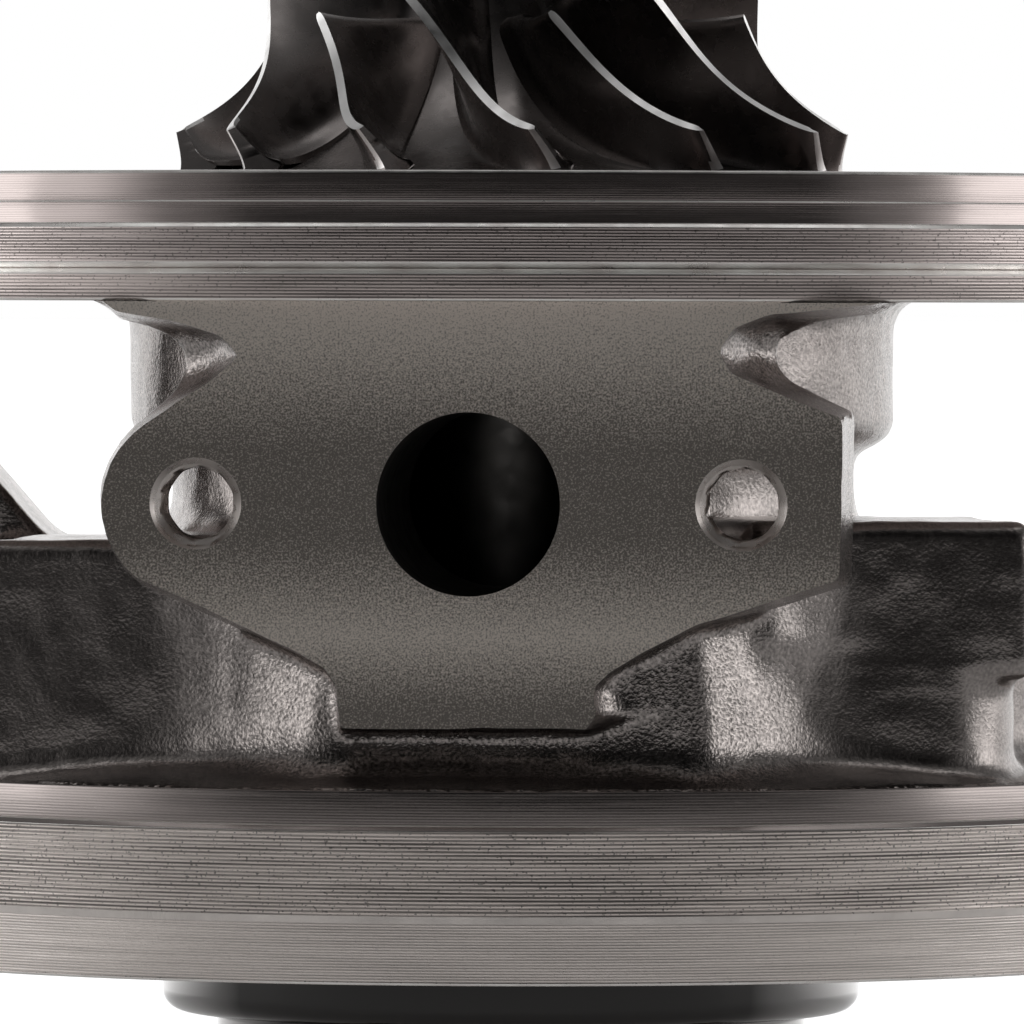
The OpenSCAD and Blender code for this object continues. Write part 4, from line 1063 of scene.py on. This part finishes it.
INNER_FINISHES = {
    "backplate_oring": RUBBER, "backplate_screws": SCREW, "thrust_bearing": BRONZE, "thrust_pins": SHAFT,
    "oil_deflector": PRESSED, "compressor_piston_ring": SPRING, "turbine_piston_ring": SPRING,
    "turbine_journal_bearing": BRONZE, "compressor_journal_bearing": BRONZE, "rotor_shaft": SHAFT,
    "thrust_washer": SHAFT, "thrust_collar": SHAFT, "oil_flinger": SHAFT, "compressor_nut": NUT,
    **dict.fromkeys(CIRCLIPS, SPRING),
}


def inner_pieces():
    """Finishes for the solids that stay as they are."""
    for name, finish in INNER_FINISHES.items():
        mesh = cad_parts[name].data
        mesh.materials.clear()
        mesh.materials.append(finish)


# Camera, light and floor

CAMERA_TURN, CAMERA_DISTANCE, CAMERA_Z, CAMERA_ROLL = 3.66, 881.0, 48.2, 0.14
AIM_POINT = Vector((0, 0, 31.9)) * MM
CAMERA_LENS, SENSOR = 421.9, 36.0
# The floor's glow behind the part, as places along Y in metres and strengths
GLOW_START, GLOW_END, GLOW_NEAR, GLOW_FAR = 0.1, 0.4, 0.08, 0.85
# The studio's greys as (share, grey), from the camera's side to the back and from below to above
DEPTH_GREYS = ((0.0, 0.02), (0.14, 0.03), (0.24, 0.17), (0.4, 0.9), (0.5, 1.0))
HEIGHT_GREYS = ((0.0, 1.0), (0.62, 1.0), (0.8, 0.16))
STUDIO_STRENGTH, DARK_SIDE = 1.35, 8.0
# Softboxes: name, place and size in metres, and watts
SOFTBOXES = (
    ("left_box", (-0.85, 0.0, 0.2), (0.4, 0.4), 0.4),
    ("right_box", (0.85, 0.0, 0.2), (0.4, 0.4), 0.4),
    ("top_box", (0.0, 0.12, 0.95), (1.2, 0.4), 1.0),
)


def camera():
    """The photograph's viewpoint, a little to the right of the front."""
    turn = math.radians(CAMERA_TURN)
    place = Vector((math.sin(turn) * CAMERA_DISTANCE, -math.cos(turn) * CAMERA_DISTANCE, CAMERA_Z)) * MM
    data = bpy.data.cameras.new("camera")
    data.lens = CAMERA_LENS
    data.sensor_width = SENSOR
    data.clip_start = 0.01
    eye = bpy.data.objects.new("camera", data)
    look = (AIM_POINT - place).to_track_quat("-Z", "Y").to_matrix().to_4x4()
    look = look @ Matrix.Rotation(math.radians(CAMERA_ROLL), 4, "Z")
    eye.matrix_world = Matrix.Translation(place) @ look
    bpy.context.scene.collection.objects.link(eye)
    bpy.context.scene.camera = eye


def floor():
    """A wide pale floor just under the part, which glows behind it."""
    size, gap = 30000, 0.02
    points = [(x * size, y * size, FLOOR_Z - gap) for x, y in ((-1, -1), (1, -1), (1, 1), (-1, 1))]
    piece = add_mesh("floor", points, [(0, 1, 2, 3)])
    f = Finish("pale_floor", (0.9, 0.9, 0.9), 0.0, 0.6)
    f.shader.inputs["Emission Color"].default_value = (1, 1, 1, 1)
    glow = f.stretch(f.along("Y"), GLOW_START, GLOW_END, GLOW_NEAR, GLOW_FAR)
    f.tree.links.new(glow, f.shader.inputs["Emission Strength"])
    f.tint(f.noise(60, 3), 0.99, 1.01)
    piece.data.materials.append(f.material)


def greys(tree, value, stops):
    """Greys by how far a direction points along an axis, from -1 to 1."""
    share = add_node(tree, "ShaderNodeMapRange", {"Value": value, "From Min": -1})
    colours = add_node(tree, "ShaderNodeValToRGB", {"Fac": share.outputs["Result"]})
    colours.color_ramp.interpolation = "EASE"
    elements = colours.color_ramp.elements
    while len(elements) < len(stops):
        elements.new(0.5)
    for element, (place, grey) in zip(elements, stops):
        element.position = place
        element.color = (grey, grey, grey, 1)
    return colours.outputs["Color"]


def studio_world():
    """A white studio, dark on the camera's side and above. The camera itself sees plain white."""
    world = bpy.data.worlds.new("studio")
    world.use_nodes = True
    bpy.context.scene.world = world
    tree = world.node_tree
    where = add_node(tree, "ShaderNodeTexCoord").outputs["Generated"]
    turn = {"Vector": where, "Angle": math.radians(-DARK_SIDE)}
    turned = add_node(tree, "ShaderNodeVectorRotate", turn, rotation_type="Z_AXIS").outputs["Vector"]
    split = add_node(tree, "ShaderNodeSeparateXYZ", {0: turned}).outputs
    factors = {0: greys(tree, split["Y"], DEPTH_GREYS), 1: greys(tree, split["Z"], HEIGHT_GREYS)}
    level = add_node(tree, "ShaderNodeVectorMath", factors, operation="MULTIPLY").outputs["Vector"]
    studio = tree.nodes["Background"]
    studio.inputs["Strength"].default_value = STUDIO_STRENGTH
    tree.links.new(level, studio.inputs["Color"])
    white = add_node(tree, "ShaderNodeBackground", {"Color": (1, 1, 1, 1)})
    seen = add_node(tree, "ShaderNodeLightPath").outputs["Is Camera Ray"]
    mix = add_node(tree, "ShaderNodeMixShader", {0: seen, 1: studio.outputs[0], 2: white.outputs[0]})
    tree.links.new(mix.outputs[0], tree.nodes["World Output"].inputs["Surface"])


def softbox(name, place, size, power):
    """An area light of a width and height that faces the middle of the part."""
    data = bpy.data.lights.new(name, "AREA")
    data.shape = "RECTANGLE"
    data.size, data.size_y = size
    data.energy = power
    lamp = bpy.data.objects.new(name, data)
    lamp.location = place
    lamp.rotation_euler = (AIM_POINT - lamp.location).to_track_quat("-Z", "Y").to_euler()
    bpy.context.scene.collection.objects.link(lamp)


housing()
backplate()
compressor_wheel()
turbine_wheel()
heat_shield()
inner_pieces()
floor()
studio_world()
for measures in SOFTBOXES:
    softbox(*measures)
camera()
bpy.context.scene.view_settings.view_transform = "Standard"
